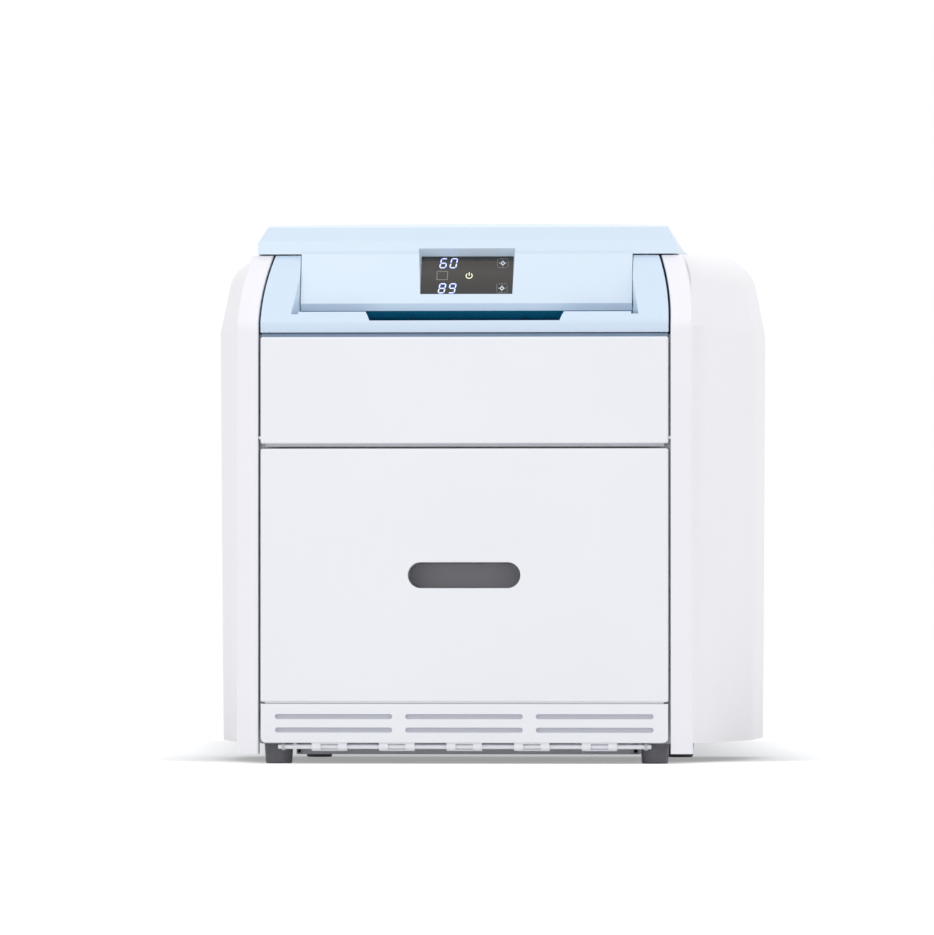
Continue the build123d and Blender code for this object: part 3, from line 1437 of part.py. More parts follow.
# Rear panel inside the side covers, with a fan grille, louvres and the inlet's opening
panel_rear_y = frame_rear_y + sheet
panel_high_z = beam_high_z - skin
with BuildPart() as rear_panel:
    extrude(cover_section(panel_rear_y, skin + seat_gap), amount=sheet)
    mirror(about=Plane.YZ)
    block((-cover_top_x, cover_top_x), (frame_rear_y, panel_rear_y),
          (base_z + skin + seat_gap, panel_high_z))
    block((-rear_width, rear_width), (frame_rear_y, panel_rear_y), (panel_high_z, 2 * hood_z),
          mode=Mode.SUBTRACT)
    with BuildSketch(Plane.XZ.offset(-panel_rear_y)):
        with Locations((fan_x, fan_z)):
            Circle(fan_radius)
            for index in range(1, grille_rings + 1):
                Circle(index * grille_pitch + sheet, mode=Mode.SUBTRACT)
                Circle(index * grille_pitch - sheet)
            Circle(grille_pitch + sheet, mode=Mode.SUBTRACT)
            for angle in (-grille_angle, grille_angle):
                Rectangle(2 * fan_radius, 2 * sheet, rotation=angle, mode=Mode.SUBTRACT)
        with Locations((inlet_x, inlet_z)):
            Rectangle(inlet_width, inlet_height)
        with Locations((low_louvres_x, low_louvres_z), (high_louvres_x, fan_z)):
            with GridLocations(0, louvre_pitch, 1, louvre_rows):
                SlotOverall(louvre_length, louvre_height)
    extrude(amount=sheet, mode=Mode.SUBTRACT)
save(rear_panel, "rear_panel")

# Fan: a square frame with a motor seat on four struts, and a seven-bladed rotor
fan_seat_y = frame_rear_y - skin
fan_face = Plane(origin=(fan_x, frame_rear_y, fan_z), x_dir=(1, 0, 0), z_dir=(0, -1, 0))
with BuildPart() as fan_frame:
    with BuildSketch(fan_face):
        RectangleRounded(fan_size, fan_size, fan_corner)
        Circle(fan_radius + fan_clearance, mode=Mode.SUBTRACT)
        hole_pitch = fan_size - 2 * fan_hole_inset
        with GridLocations(hole_pitch, hole_pitch, 2, 2):
            Circle(fan_hole_radius, mode=Mode.SUBTRACT)
    extrude(amount=fan_depth)
    with BuildSketch(fan_face):
        Circle(fan_hub_radius)
        for angle in (-grille_angle, grille_angle):
            Rectangle(2 * (fan_radius + sheet), fan_strut, rotation=angle)
    extrude(amount=skin)
    with BuildSketch(fan_face):
        Circle(axle_radius)
    extrude(amount=fan_depth / 2)
save(fan_frame, "fan_frame")

rotor_face = Plane(origin=(fan_x, fan_seat_y - axle_gap, fan_z), x_dir=(1, 0, 0),
                   z_dir=(0, -1, 0))
rotor_depth = fan_depth - skin - sheet
with BuildPart() as fan_rotor:
    with Locations(rotor_face.offset(rotor_depth / 2)):
        with PolarLocations((fan_radius + fan_hub_radius) / 2, fan_blades):
            Box(fan_radius - fan_hub_radius + skin, 2 * rotor_depth, blade_sheet,
                rotation=(blade_angle, 0, 0))
        Cylinder(fan_radius, rotor_depth, mode=Mode.INTERSECT)
        Cylinder(fan_hub_radius, rotor_depth)
    with Locations(rotor_face.offset(fan_depth / 4)):
        Cylinder(axle_radius + shaft_clearance, fan_depth / 2, mode=Mode.SUBTRACT)
save(fan_rotor, "fan_rotor")

# Mains inlet: socket below, rocker switch above
socket_z = inlet_z - inlet_height / 4
switch_z = inlet_z + inlet_height / 4
pivot_y = rear_y - rocker_setback
inlet_front_y = panel_rear_y - inlet_depth
inlet_rear_y = panel_rear_y + sheet
body_half_x = inlet_width / 2 - seat_gap
body_half_z = inlet_height / 2 - seat_gap
inlet_x_span = (inlet_x - body_half_x, inlet_x + body_half_x)
with BuildPart() as power_inlet:
    block(inlet_x_span, (inlet_front_y, panel_rear_y),
          (inlet_z - body_half_z, inlet_z + body_half_z))
    block((inlet_x_span[0] - inlet_flange, inlet_x_span[1] + inlet_flange),
          (panel_rear_y, inlet_rear_y),
          (inlet_z - body_half_z - inlet_flange, inlet_z + body_half_z + inlet_flange))
    block((inlet_x - socket_half_width, inlet_x + socket_half_width),
          (inlet_front_y + inlet_flange, inlet_rear_y),
          (socket_z - socket_half_height, socket_z + socket_half_height), mode=Mode.SUBTRACT)
    for pin_x, pin_z in socket_pins:
        half_x, half_z = socket_pin_half
        block((inlet_x + pin_x - half_x, inlet_x + pin_x + half_x),
              (inlet_front_y + inlet_flange - cut_margin, inlet_rear_y - inlet_flange),
              (socket_z + pin_z - half_z, socket_z + pin_z + half_z))
    well = rocker_half + rocker_room
    block((inlet_x - rocker_width / 2 - seat_gap, inlet_x + rocker_width / 2 + seat_gap),
          (pivot_y - well, inlet_rear_y), (switch_z - well, switch_z + well),
          mode=Mode.SUBTRACT)
    cylinder_between((pivot_y, switch_z), axle_radius + shaft_clearance,
                     inlet_x - rocker_width / 2 - sheet, inlet_x + rocker_width / 2 + sheet,
                     mode=Mode.SUBTRACT)
save(power_inlet, "power_inlet")

rocker_points = [
    (pivot_y - rocker_back, switch_z - rocker_half + rocker_back),
    (pivot_y - rocker_back, switch_z + rocker_half - rocker_back),
    (pivot_y + rocker_horn, switch_z + rocker_half),
    (pivot_y + rocker_dip, switch_z),
    (pivot_y + rocker_horn, switch_z - rocker_half),
]
with BuildPart() as rocker_blank:
    extrude(side_outline(rocker_points, inlet_x - rocker_width / 2), amount=rocker_width)
    cylinder_between((pivot_y, switch_z), axle_radius, inlet_x - rocker_width / 2 - rocker_room,
                     inlet_x + rocker_width / 2 + rocker_room)
rocker_axis = Axis((0, pivot_y, switch_z), (1, 0, 0))
with BuildPart() as power_switch:
    add(rocker_blank.part.rotate(rocker_axis, rocker_angle))
save(power_switch, "power_switch")
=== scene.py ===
import math
import bmesh
import bpy
from mathutils import Matrix, Vector


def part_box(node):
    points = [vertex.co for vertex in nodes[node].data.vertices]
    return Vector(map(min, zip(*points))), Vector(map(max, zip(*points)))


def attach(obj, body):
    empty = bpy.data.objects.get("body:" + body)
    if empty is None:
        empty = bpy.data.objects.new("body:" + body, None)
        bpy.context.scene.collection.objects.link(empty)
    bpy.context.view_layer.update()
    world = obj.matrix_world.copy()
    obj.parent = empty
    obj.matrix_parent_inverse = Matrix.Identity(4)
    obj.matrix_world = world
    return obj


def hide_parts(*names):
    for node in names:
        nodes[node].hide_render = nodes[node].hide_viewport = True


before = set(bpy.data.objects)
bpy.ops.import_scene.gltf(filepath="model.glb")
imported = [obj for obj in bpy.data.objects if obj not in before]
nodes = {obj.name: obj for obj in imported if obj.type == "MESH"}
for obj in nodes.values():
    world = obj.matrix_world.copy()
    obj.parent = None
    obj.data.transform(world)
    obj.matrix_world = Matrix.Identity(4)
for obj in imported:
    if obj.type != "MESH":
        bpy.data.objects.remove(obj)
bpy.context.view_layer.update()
millimetre = 0.001


def fromHex(text):
    # sRGB hex to the linear colour that the shader wants
    parts = [int(text[i:i + 2], 16) / 255 for i in (1, 3, 5)]
    linear = [c / 12.92 if c <= 0.04045 else ((c + 0.055) / 1.055) ** 2.4 for c in parts]
    return (*linear, 1.0)


def addNode(tree, kind, settings=None, inputs=None):
    # settings are attributes; inputs are values or output sockets, by socket name or number
    made = tree.nodes.new(kind)
    for name, value in (settings or {}).items():
        setattr(made, name, value)
    for name, value in (inputs or {}).items():
        if isinstance(value, bpy.types.NodeSocket):
            tree.links.new(value, made.inputs[name])
        else:
            made.inputs[name].default_value = value
    return made


def patternScale(sizeMm):
    # noise scale whose features are about this many millimetres wide
    return 1 / (sizeMm * millimetre)


def newMaterial(name):
    material = bpy.data.materials.new(name)
    material.use_nodes = True
    tree = material.node_tree
    tree.nodes.clear()
    output = addNode(tree, "ShaderNodeOutputMaterial")
    shader = addNode(tree, "ShaderNodeBsdfPrincipled")
    tree.links.new(shader.outputs[0], output.inputs[0])
    place = addNode(tree, "ShaderNodeTexCoord").outputs["Object"]
    return material, tree, shader, place


def softVariation(tree, place, lightHex, darkHex, sizeMm):
    # slow drift between two close tones, as large mouldings and rolled sheet have
    noise = addNode(tree, "ShaderNodeTexNoise", None,
                    {"Vector": place, "Scale": patternScale(sizeMm), "Detail": 2.0})
    mix = addNode(tree, "ShaderNodeMix", {"data_type": "RGBA"},
                  {0: noise.outputs[0], 6: fromHex(lightHex), 7: fromHex(darkHex)})
    return mix.outputs[2]


def roughnessBand(tree, place, rough, sizeMm):
    # roughness that wanders between two values in patches of about this size
    noise = addNode(tree, "ShaderNodeTexNoise", None,
                    {"Vector": place, "Scale": patternScale(sizeMm), "Detail": 4.0})
    span = addNode(tree, "ShaderNodeMapRange", None,
                   {"Value": noise.outputs[0], "From Min": 0.3, "From Max": 0.7,
                    "To Min": rough[0], "To Max": rough[1]})
    return span.outputs[0]


def dressShader(tree, shader, tone, roughness, relief, strength, depthMm):
    # most finishes end alike: their tone, roughness and relief go into the shader
    bump = addNode(tree, "ShaderNodeBump", None,
                   {"Height": relief, "Strength": strength, "Distance": depthMm * millimetre})
    for name, source in (("Base Color", tone), ("Roughness", roughness),
                         ("Normal", bump.outputs[0])):
        tree.links.new(source, shader.inputs[name])


def mouldedPlastic(name, lightHex, darkHex, rough=(0.42, 0.52), grainMm=1.6, depthMm=0.05,
                   coat=0.0):
    # injection moulded ABS: spark-eroded tool leaves a fine grain, so highlights are soft
    # the real grain is about 0.3 mm; it is drawn at a millimetre or more so that it shows
    material, tree, shader, place = newMaterial(name)
    grain = addNode(tree, "ShaderNodeTexNoise", None,
                    {"Vector": place, "Scale": patternScale(grainMm), "Detail": 3.0})
    dressShader(tree, shader, softVariation(tree, place, lightHex, darkHex, sizeMm=160),
                roughnessBand(tree, place, rough, sizeMm=12), grain.outputs[0],
                strength=0.25, depthMm=depthMm)
    shader.inputs["IOR"].default_value = 1.53
    shader.inputs["Coat Weight"].default_value = coat
    shader.inputs["Coat Roughness"].default_value = 0.2
    return material


def zincSheet(name, lightHex, darkHex, rough):
    # zinc plated steel sheet: faint rolling streaks along Y and a dull metallic sheen
    material, tree, shader, place = newMaterial(name)
    stretched = addNode(tree, "ShaderNodeMapping", None, {"Vector": place, "Scale": (1, 0.06, 1)})
    streak = addNode(tree, "ShaderNodeTexNoise", None,
                     {"Vector": stretched.outputs[0], "Scale": patternScale(2.5), "Detail": 3.0})
    tone = addNode(tree, "ShaderNodeMix", {"data_type": "RGBA"},
                   {0: streak.outputs[0], 6: fromHex(lightHex), 7: fromHex(darkHex)})
    dressShader(tree, shader, tone.outputs[2],
                roughnessBand(tree, stretched.outputs[0], rough, sizeMm=4), streak.outputs[0],
                strength=0.15, depthMm=0.05)
    shader.inputs["Metallic"].default_value = 0.9
    return material


def powderCoat(name, lightHex, darkHex):
    # baked polyester powder: hard, with an orange peel a few millimetres across
    material, tree, shader, place = newMaterial(name)
    peel = addNode(tree, "ShaderNodeTexVoronoi", {"feature": "SMOOTH_F1"},
                   {"Vector": place, "Scale": patternScale(2.2)})
    dressShader(tree, shader, softVariation(tree, place, lightHex, darkHex, sizeMm=90),
                roughnessBand(tree, place, (0.42, 0.55), sizeMm=6), peel.outputs[0],
                strength=0.3, depthMm=0.08)
    shader.inputs["IOR"].default_value = 1.5
    return material


def turnedMetal(name, lightHex, darkHex, rough):
    # turned or ground shaft stock: fine rings round the X axis
    material, tree, shader, place = newMaterial(name)
    squeezed = addNode(tree, "ShaderNodeMapping", None, {"Vector": place, "Scale": (1, 0.02, 0.02)})
    ring = addNode(tree, "ShaderNodeTexNoise", None,
                   {"Vector": squeezed.outputs[0], "Scale": patternScale(1.2), "Detail": 2.0})
    tone = addNode(tree, "ShaderNodeMix", {"data_type": "RGBA"},
                   {0: ring.outputs[0], 6: fromHex(lightHex), 7: fromHex(darkHex)})
    dressShader(tree, shader, tone.outputs[2],
                roughnessBand(tree, squeezed.outputs[0], rough, sizeMm=2), ring.outputs[0],
                strength=0.2, depthMm=0.03)
    shader.inputs["Metallic"].default_value = 1.0
    return material


def mouldedRubber(name, lightHex, darkHex):
    # moulded rubber: matt, slightly dusty, with a pebbled skin
    material, tree, shader, place = newMaterial(name)
    pebble = addNode(tree, "ShaderNodeTexVoronoi", None,
                     {"Vector": place, "Scale": patternScale(1.5)})
    dressShader(tree, shader, softVariation(tree, place, lightHex, darkHex, sizeMm=14),
                roughnessBand(tree, place, (0.65, 0.85), sizeMm=5), pebble.outputs[0],
                strength=0.35, depthMm=0.12)
    shader.inputs["IOR"].default_value = 1.52
    return material


def tintedWindow(name, lowZ, highZ):
    # polycarbonate window, smoke printed from behind and hard coated, so it reflects sharply
    # its colour runs with height: darker along the upper and lower edge, lighter and browner
    # between them
    material, tree, shader, place = newMaterial(name)
    apart = addNode(tree, "ShaderNodeSeparateXYZ", None, {"Vector": place})
    height = addNode(tree, "ShaderNodeMapRange", None,
                     {"Value": apart.outputs[2], "From Min": lowZ, "From Max": highZ})
    ramp = addNode(tree, "ShaderNodeValToRGB", None, {"Fac": height.outputs[0]})
    bands = ((0.0, "#14171d"), (0.25, "#262320"), (0.6, "#38332f"), (0.85, "#2e2a27"),
             (1.0, "#141518"))
    while len(ramp.color_ramp.elements) < len(bands):
        ramp.color_ramp.elements.new(0.5)
    for element, (position, colourHex) in zip(ramp.color_ramp.elements, bands):
        element.position = position
        element.color = fromHex(colourHex)
    tree.links.new(ramp.outputs[0], shader.inputs["Base Color"])
    gloss = roughnessBand(tree, place, (0.10, 0.16), sizeMm=8)
    tree.links.new(gloss, shader.inputs["Roughness"])
    shader.inputs["IOR"].default_value = 1.58
    shader.inputs["Coat Weight"].default_value = 0.35
    shader.inputs["Coat Roughness"].default_value = 0.06
    return material


def filterFleece(name, lightHex, darkHex):
    # non-woven polyester fleece: matt and open, with loose fibres; a real fibre is 0.03 mm thick
    # and is drawn as clumps of a millimetre
    material, tree, shader, place = newMaterial(name)
    clump = addNode(tree, "ShaderNodeTexNoise", None,
                    {"Vector": place, "Scale": patternScale(1.1), "Detail": 5.0,
                     "Roughness": 0.7})
    tone = addNode(tree, "ShaderNodeMix", {"data_type": "RGBA"},
                   {0: clump.outputs[0], 6: fromHex(lightHex), 7: fromHex(darkHex)})
    dressShader(tree, shader, tone.outputs[2],
                roughnessBand(tree, place, (0.85, 0.98), sizeMm=3), clump.outputs[0],
                strength=0.5, depthMm=0.25)
    shader.inputs["Sheen Weight"].default_value = 0.2
    return material


def litMark(name, colourHex, strength):
    # a diode behind its mask: an even glow with a crisp edge; the printed marks get the same glow,
    # weaker
    material, tree, shader, place = newMaterial(name)
    shader.inputs["Base Color"].default_value = fromHex(colourHex)
    gloss = roughnessBand(tree, place, (0.35, 0.45), sizeMm=2)
    tree.links.new(gloss, shader.inputs["Roughness"])
    shader.inputs["Emission Color"].default_value = fromHex(colourHex)
    shader.inputs["Emission Strength"].default_value = strength
    return material


def circuitBoard(name):
    # solder mask over etched copper: fine tracks show as a lighter weave
    material, tree, shader, place = newMaterial(name)
    track = addNode(tree, "ShaderNodeTexBrick", {"offset": 0.37},
                    {"Vector": place, "Scale": patternScale(9), "Mortar Size": 0.03,
                     "Color1": fromHex("#1c5a38"), "Color2": fromHex("#1a5233"),
                     "Mortar": fromHex("#3d8a5c")})
    dressShader(tree, shader, track.outputs[0],
                roughnessBand(tree, place, (0.3, 0.45), sizeMm=6), track.outputs[1],
                strength=0.3, depthMm=0.06)
    return material


def filmEdges(name):
    # stack of polyester sheets: the edges show as fine layers; real sheets are 0.18 mm apart
    # they are drawn 1.2 mm apart so that they show
    material, tree, shader, place = newMaterial(name)
    layers = addNode(tree, "ShaderNodeTexWave", {"bands_direction": "Z"},
                     {"Vector": place, "Scale": patternScale(1.2) / 20, "Distortion": 0.4})
    tone = addNode(tree, "ShaderNodeMix", {"data_type": "RGBA"},
                   {0: layers.outputs[1], 6: fromHex("#5d7396"), 7: fromHex("#4a5f82")})
    dressShader(tree, shader, tone.outputs[2],
                roughnessBand(tree, place, (0.18, 0.28), sizeMm=30), layers.outputs[1],
                strength=0.2, depthMm=0.08)
    return material


housingWhite = mouldedPlastic("housingWhiteAbs", "#f1f1f6", "#eeeef4")
coverWhite = mouldedPlastic("coverWhiteAbs", "#f3f2f6", "#f0eff4")
doorWhite = mouldedPlastic("doorWhiteAbs", "#eff1f6", "#ecedf3", (0.40, 0.50))
# the doors' plastic made greyer for the lips in the door gaps: painted shade
gapShadeGrey = mouldedPlastic("doorLipPaintedShadeAbs", "#d8d7de", "#d2d1d8", (0.45, 0.55))
lidBlue = mouldedPlastic("lidBlueAbs", "#dceaf8", "#d6e7f6", (0.30, 0.38), 1.4, 0.03, coat=0.15)
bezelBlue = mouldedPlastic("bezelBlueAbs", "#d3e3f4", "#cde0f2", (0.32, 0.40), 1.4, 0.03, coat=0.1)
gripGrey = mouldedPlastic("gripGreyAbs", "#919097", "#89888f", (0.45, 0.55), 1.2, 0.08)
darkPlastic = mouldedPlastic("darkNylon", "#2c2c2f", "#242427", (0.45, 0.6), 1.4, 0.06)
gearPlastic = mouldedPlastic("gearAcetal", "#e6e3d8", "#dedbcf", (0.35, 0.45), 1.8, 0.03)
filterGrey = filterFleece("filterFleeceGrey", "#b9bcc4", "#a4a8b0")
slotFleece = filterFleece("slotFleecePale", "#d2d4dc", "#c0c2cb")
frameSteel = zincSheet("zincSteel", "#c3c6c9", "#aeb1b5", (0.32, 0.5))
panelPaint = powderCoat("lightGreyPowder", "#dcdde0", "#d6d7da")
innerPaint = powderCoat("innerGreyPowder", "#c6c8cb", "#bec0c4")
motorPaint = powderCoat("satinBlackPaint", "#2f3033", "#28292c")
drumMetal = turnedMetal("turnedAluminium", "#d3d4d6", "#c2c3c6", (0.25, 0.38))
shaftMetal = turnedMetal("groundShaftSteel", "#cfd1d4", "#bcbec2", (0.12, 0.22))
bearingBronze = turnedMetal("sinteredBronze", "#b98f55", "#a57c46", (0.4, 0.55))
footRubber = mouldedRubber("footRubber", "#7c7c82", "#707076")
rollerRubber = mouldedRubber("rollerRubber", "#38393c", "#303134")
sealRubber = mouldedRubber("sealRubberGrey", "#8fa3ba", "#8497ad")
rollerTeal = mouldedRubber("rollerSiliconeTeal", "#0fb0e2", "#0ea2d1")
windowLow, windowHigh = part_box("display_window")
windowTint = tintedWindow("smokedPolycarbonate", windowLow.z, windowHigh.z)
digitBlue = litMark("digitDiodeBlue", "#b5c4ff", 1.0)
iconWarm = litMark("iconDiodeWarm", "#ecebc8", 0.75)
# the printed marks are given a faint glow
iconWhite = litMark("iconPrintWhite", "#ccd6de", 0.35)
iconPale = litMark("iconPrintPale", "#9fa6a8", 0.3)
boardGreen = circuitBoard("boardSolderMask")
filmStack = filmEdges("filmPolyester")
print("materials made:", len(bpy.data.materials))

finishes = {
    housingWhite: ["right_pillar", "left_pillar", "hinge_rod"],
    coverWhite: ["right_side_cover", "left_side_cover"],
    doorWhite: ["jam_door_panel", "drawer_front", "vent_flap"],
    bezelBlue: ["front_bezel"],
    lidBlue: ["lid_shell"],
    gripGrey: ["grip_cup"],
    windowTint: ["display_window"],
    footRubber: ["rubber_feet"],
    rollerRubber: ["pickup_roller", "feed_roller", "feed_pinch_roller", "timing_belt"],
    rollerTeal: ["exit_roller", "exit_pinch_roller"],
    frameSteel: ["right_side_frame", "left_side_frame", "upper_front_bar",
                 "lower_front_bar", "rear_beam", "lid_hinge_brackets",
                 "right_outer_rail", "left_outer_rail", "right_inner_rail", "left_inner_rail",
                 "optics_deck", "pickup_bracket", "motor_bracket", "power_supply"],
    panelPaint: ["rear_panel", "middle_front_bar"],
    innerPaint: ["base_pan", "film_tray", "drum_cover", "cooling_guide"],
    filmStack: ["film_pack"],
    motorPaint: ["exposure_unit", "drive_motor"],
    drumMetal: ["heat_drum", "drum_pulley", "exit_pulley", "feed_pulley"],
    shaftMetal: ["jam_door_pins", "drum_pinch_roller_1", "drum_pinch_roller_2", "motor_pinion"],
    bearingBronze: ["roller_bearings"],
    boardGreen: ["display_board", "control_board"],
    gearPlastic: ["drum_gear"],
    darkPlastic: ["fan_frame", "fan_rotor", "power_inlet", "power_switch"],
    filterGrey: ["intake_filter"],
}
for material, names in finishes.items():
    for name in names:
        nodes[name].data.materials.clear()
        nodes[name].data.materials.append(material)
unpainted = set(nodes) - {name for names in finishes.values() for name in names}
print("carried nodes painted:", len(nodes) - len(unpainted), "left:", sorted(unpainted))


def linkNew(name, data):
    made = bpy.data.objects.new(name, data)
    bpy.context.scene.collection.objects.link(made)
    return made


def meshFrom(name, build):
    mesh = bpy.data.meshes.new(name)
    build.to_mesh(mesh)
    build.free()
    return mesh


def evaluatedMesh(thing):
    # what the object's modifiers make of it, as a plain mesh
    bpy.context.view_layer.update()
    view = bpy.context.evaluated_depsgraph_get()
    return bpy.data.meshes.new_from_object(thing.evaluated_get(view))


def placePiece(name, mesh, body):
    piece = linkNew(name, mesh)
    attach(piece, body)
    return piece


def finishMesh(name, build, material, body):
    # build is a filled bmesh with its place in its points
    mesh = meshFrom(name, build)
    mesh.materials.append(material)
    return placePiece(name, mesh, body)


def addPrism(build, outline, place, depth):
    # closed outline of (u, v) points, raised by depth above the plane that place maps it to
    low = [build.verts.new(place(u, v, 0)) for u, v in outline]
    high = [build.verts.new(place(u, v, depth)) for u, v in outline]
    count = len(outline)
    build.faces.new(high)
    build.faces.new(low[::-1])
    for i in range(count):
        j = (i + 1) % count
        build.faces.new((low[i], low[j], high[j], high[i]))


def addRing(build, outer, inner, place, depth):
    # band between two outlines with as many points each
    count = len(outer)
    rows = [[build.verts.new(place(u, v, w)) for u, v in line]
            for line, w in ((outer, 0), (outer, depth), (inner, depth), (inner, 0))]
    for i in range(count):
        j = (i + 1) % count
        for a, b in ((0, 1), (1, 2), (2, 3), (3, 0)):
            build.faces.new((rows[a][i], rows[a][j], rows[b][j], rows[b][i]))


def circlePoints(centre, radius, count=32, start=0.0, sweep=360.0):
    steps = count if sweep >= 360 else count - 1
    return [(centre[0] + radius * math.cos(math.radians(start + sweep * i / steps)),
             centre[1] + radius * math.sin(math.radians(start + sweep * i / steps)))
            for i in range(count)]


def rectangle(left, foot, right, top, inset=0.0):
    left, foot, right, top = left + inset, foot + inset, right - inset, top - inset
    return [(left, foot), (right, foot), (right, top), (left, top)]


# figures and marks on the display lie just over its window
# their places are in millimetres from the middle of its foot
display = {
    "tilt": 29.0,          # the window leans back by this many degrees
    "height": 48.3,        # up the leaning window
    "lift": 0.05,          # how far a mark stands off the window
    "markDepth": 0.08,
}
tilt = math.radians(display["tilt"])
upPlane = Vector((0, math.sin(tilt), math.cos(tilt)))
outPlane = Vector((0, -math.cos(tilt), math.sin(tilt)))
windowFoot = Vector((0, windowLow.y, windowHigh.z - display["height"] * millimetre * upPlane.z))


def onWindow(u, v, w):
    # millimetres along the window, up it and out of it
    return windowFoot + (Vector((u, 0, 0)) + upPlane * v + outPlane * (w + display["lift"])) \
        * millimetre


def addMark(build, outline, inner=None):
    # a plain mark, or a band where an inner outline is given
    if inner:
        addRing(build, outline, inner, onWindow, display["markDepth"])
    else:
        addPrism(build, outline, onWindow, display["markDepth"])


digit = {
    "height": 11.6, "width": 6.4, "pitch": 11.3, "slant": 0.16, "stroke": 1.35, "gap": 0.35,
    "readings": (("60", -30.6, 33.8), ("89", -31.2, 1.6)),     # figures, left edge, foot
}
segmentsOf = {"0": "abcdef", "6": "acdefg", "8": "abcdefg", "9": "abcdfg"}


def digitSegments(left, foot):
    # seven slanted bars with pointed ends, by their usual letters
    tall, wide = digit["height"], digit["width"]
    half, gap = digit["stroke"] / 2, digit["gap"]
    rows = {"low": 0.0, "mid": tall / 2, "top": tall}
    bars = {}
    for letter, row in (("d", "low"), ("g", "mid"), ("a", "top")):
        v = rows[row]
        bars[letter] = [(gap, v), (gap + half, v - half), (wide - gap - half, v - half),
                        (wide - gap, v), (wide - gap - half, v + half), (gap + half, v + half)]
    for letter, u, low, high in (("e", 0, "low", "mid"), ("f", 0, "mid", "top"),
                                 ("c", wide, "low", "mid"), ("b", wide, "mid", "top")):
        a, b = rows[low] + gap, rows[high] - gap
        bars[letter] = [(u, a), (u + half, a + half), (u + half, b - half), (u, b),
                        (u - half, b - half), (u - half, a + half)]
    lean = digit["slant"]
    return {k: [(left + u + v * lean, foot + v) for u, v in bar] for k, bar in bars.items()}


digits = bmesh.new()
for text, left, foot in digit["readings"]:
    for place, figure in enumerate(text):
        bars = digitSegments(left + place * digit["pitch"], foot)
        for letter in segmentsOf[figure]:
            addMark(digits, bars[letter])
finishMesh("displayDigits", digits, digitBlue, "lid")

# an open ring with a bar that stands out of its gap
power = {"centre": (2.4, 23.5), "radius": 3.8, "stroke": 0.85, "gap": 76.0, "barRise": 0.6,
         "points": 26}
icons = bmesh.new()
outerArc, innerArc = [circlePoints(power["centre"], radius, power["points"],
                                   90 + power["gap"] / 2, 360 - power["gap"])
                      for radius in (power["radius"], power["radius"] - power["stroke"])]
addMark(icons, outerArc + innerArc[::-1])
barU, barV = power["centre"]
barHalf = power["stroke"] / 2
addMark(icons, rectangle(barU - barHalf, barV, barU + barHalf,
                         barV + power["radius"] + power["barRise"]))
finishMesh("displayPowerIcon", icons, iconWarm, "lid")

# the tray has a plain frame; each key has a dashed one round a diamond with four dots
marks = {
    "tray": (-33.4, 18.3, -21.4, 29.5), "keys": ((39.2, 39.5), (39.2, 7.3)), "keyHalf": 5.9,
    "line": 0.35, "dashLength": 1.1, "dashPitch": 1.97, "dashStart": 0.4,
    "diamondOuter": 2.9, "diamondInner": 1.6, "dotReach": 3.7, "dotRadius": 0.35,
}
frames = bmesh.new()
knobs = bmesh.new()
addMark(frames, rectangle(*marks["tray"]), rectangle(*marks["tray"], inset=marks["line"]))
for u, v in marks["keys"]:
    half = marks["keyHalf"]
    corners = [Vector(point) for point in rectangle(u - half, v - half, u + half, v + half)]
    for start, end in zip(corners, corners[1:] + corners[:1]):
        along = (end - start).normalized()
        across = Vector((-along.y, along.x)) * marks["line"]
        for step in range(int((end - start).length / marks["dashPitch"])):
            a = start + along * (step * marks["dashPitch"] + marks["dashStart"])
            b = a + along * marks["dashLength"]
            addMark(frames, [a, b, b + across, a + across])
    addMark(knobs, circlePoints((u, v), marks["diamondOuter"], 4),
            circlePoints((u, v), marks["diamondInner"], 4))
    for middle in circlePoints((u, v), marks["dotReach"], 4):
        addMark(knobs, circlePoints(middle, marks["dotRadius"], 10))
finishMesh("displayFrames", frames, iconPale, "lid")
finishMesh("displayKnobMarks", knobs, iconWhite, "lid")
print("display marks made")

# pale fleece lies behind the flap's slots, with its hem pressed up on the hidden side
sheet = {
    "spans": ((-214.0, -73.6), (-70.4, 70.4), (73.6, 214.0)),
    "foot": 17.0, "top": 44.0,          # above the flap's lower edge
    "setBack": 3.15, "thick": 0.8, "hemWidth": 2.0, "hemThick": 0.5, "hemGap": 0.02,
}
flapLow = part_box("vent_flap")[0]


def onSheet(u, v, w):
    # millimetres across the flap, up it and back from its face
    return flapLow * Vector((0, 1, 1)) + Vector((u, sheet["setBack"] + w, v)) * millimetre


def onHem(u, v, w):
    return onSheet(u, v, w + sheet["thick"] + sheet["hemGap"])


fleece = bmesh.new()
for left, right in sheet["spans"]:
    span = (left, sheet["foot"], right, sheet["top"])
    outer = rectangle(*span)[::-1]
    addPrism(fleece, outer, onSheet, sheet["thick"])
    addRing(fleece, outer, rectangle(*span, inset=sheet["hemWidth"])[::-1], onHem,
            sheet["hemThick"])
finishMesh("slotFleece", fleece, slotFleece, "foot_flap")


def addBar(name, profile, half, material, body):
    # a profile of (y, z) points in millimetres, drawn from side to side
    bar = bmesh.new()
    addPrism(bar, profile, lambda u, v, w: Vector((w - half, u, v)) * millimetre, 2 * half)
    bmesh.ops.recalc_face_normals(bar, faces=bar.faces)
    finishMesh(name, bar, material, body)


# thin lips close the gaps under two of the doors; their grey, darker than the doors, is painted
# shade for those gaps
lips = {"inset": 5.0, "depth": 3.0, "round": 0.4, "lap": 0.3,
        "jamBack": 8.0, "jamDrop": 3.4, "drawerBack": 1.1, "drawerDrop": 1.7}


def doorLip(name, node, setBack, drop, body):
    # moulded lip along the lower edge of a door, with rounded corners, just behind its face
    low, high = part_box(node)
    edgeRound = lips["round"]
    edge = low.z / millimetre
    top, foot = edge + lips["lap"], edge - drop
    front = low.y / millimetre + setBack
    back = front + lips["depth"]
    corners = [(front, top), (front, foot + edgeRound), (front + edgeRound, foot),
               (back - edgeRound, foot), (back, foot + edgeRound), (back, top)]
    addBar(name, corners, high.x / millimetre - lips["inset"], gapShadeGrey, body)


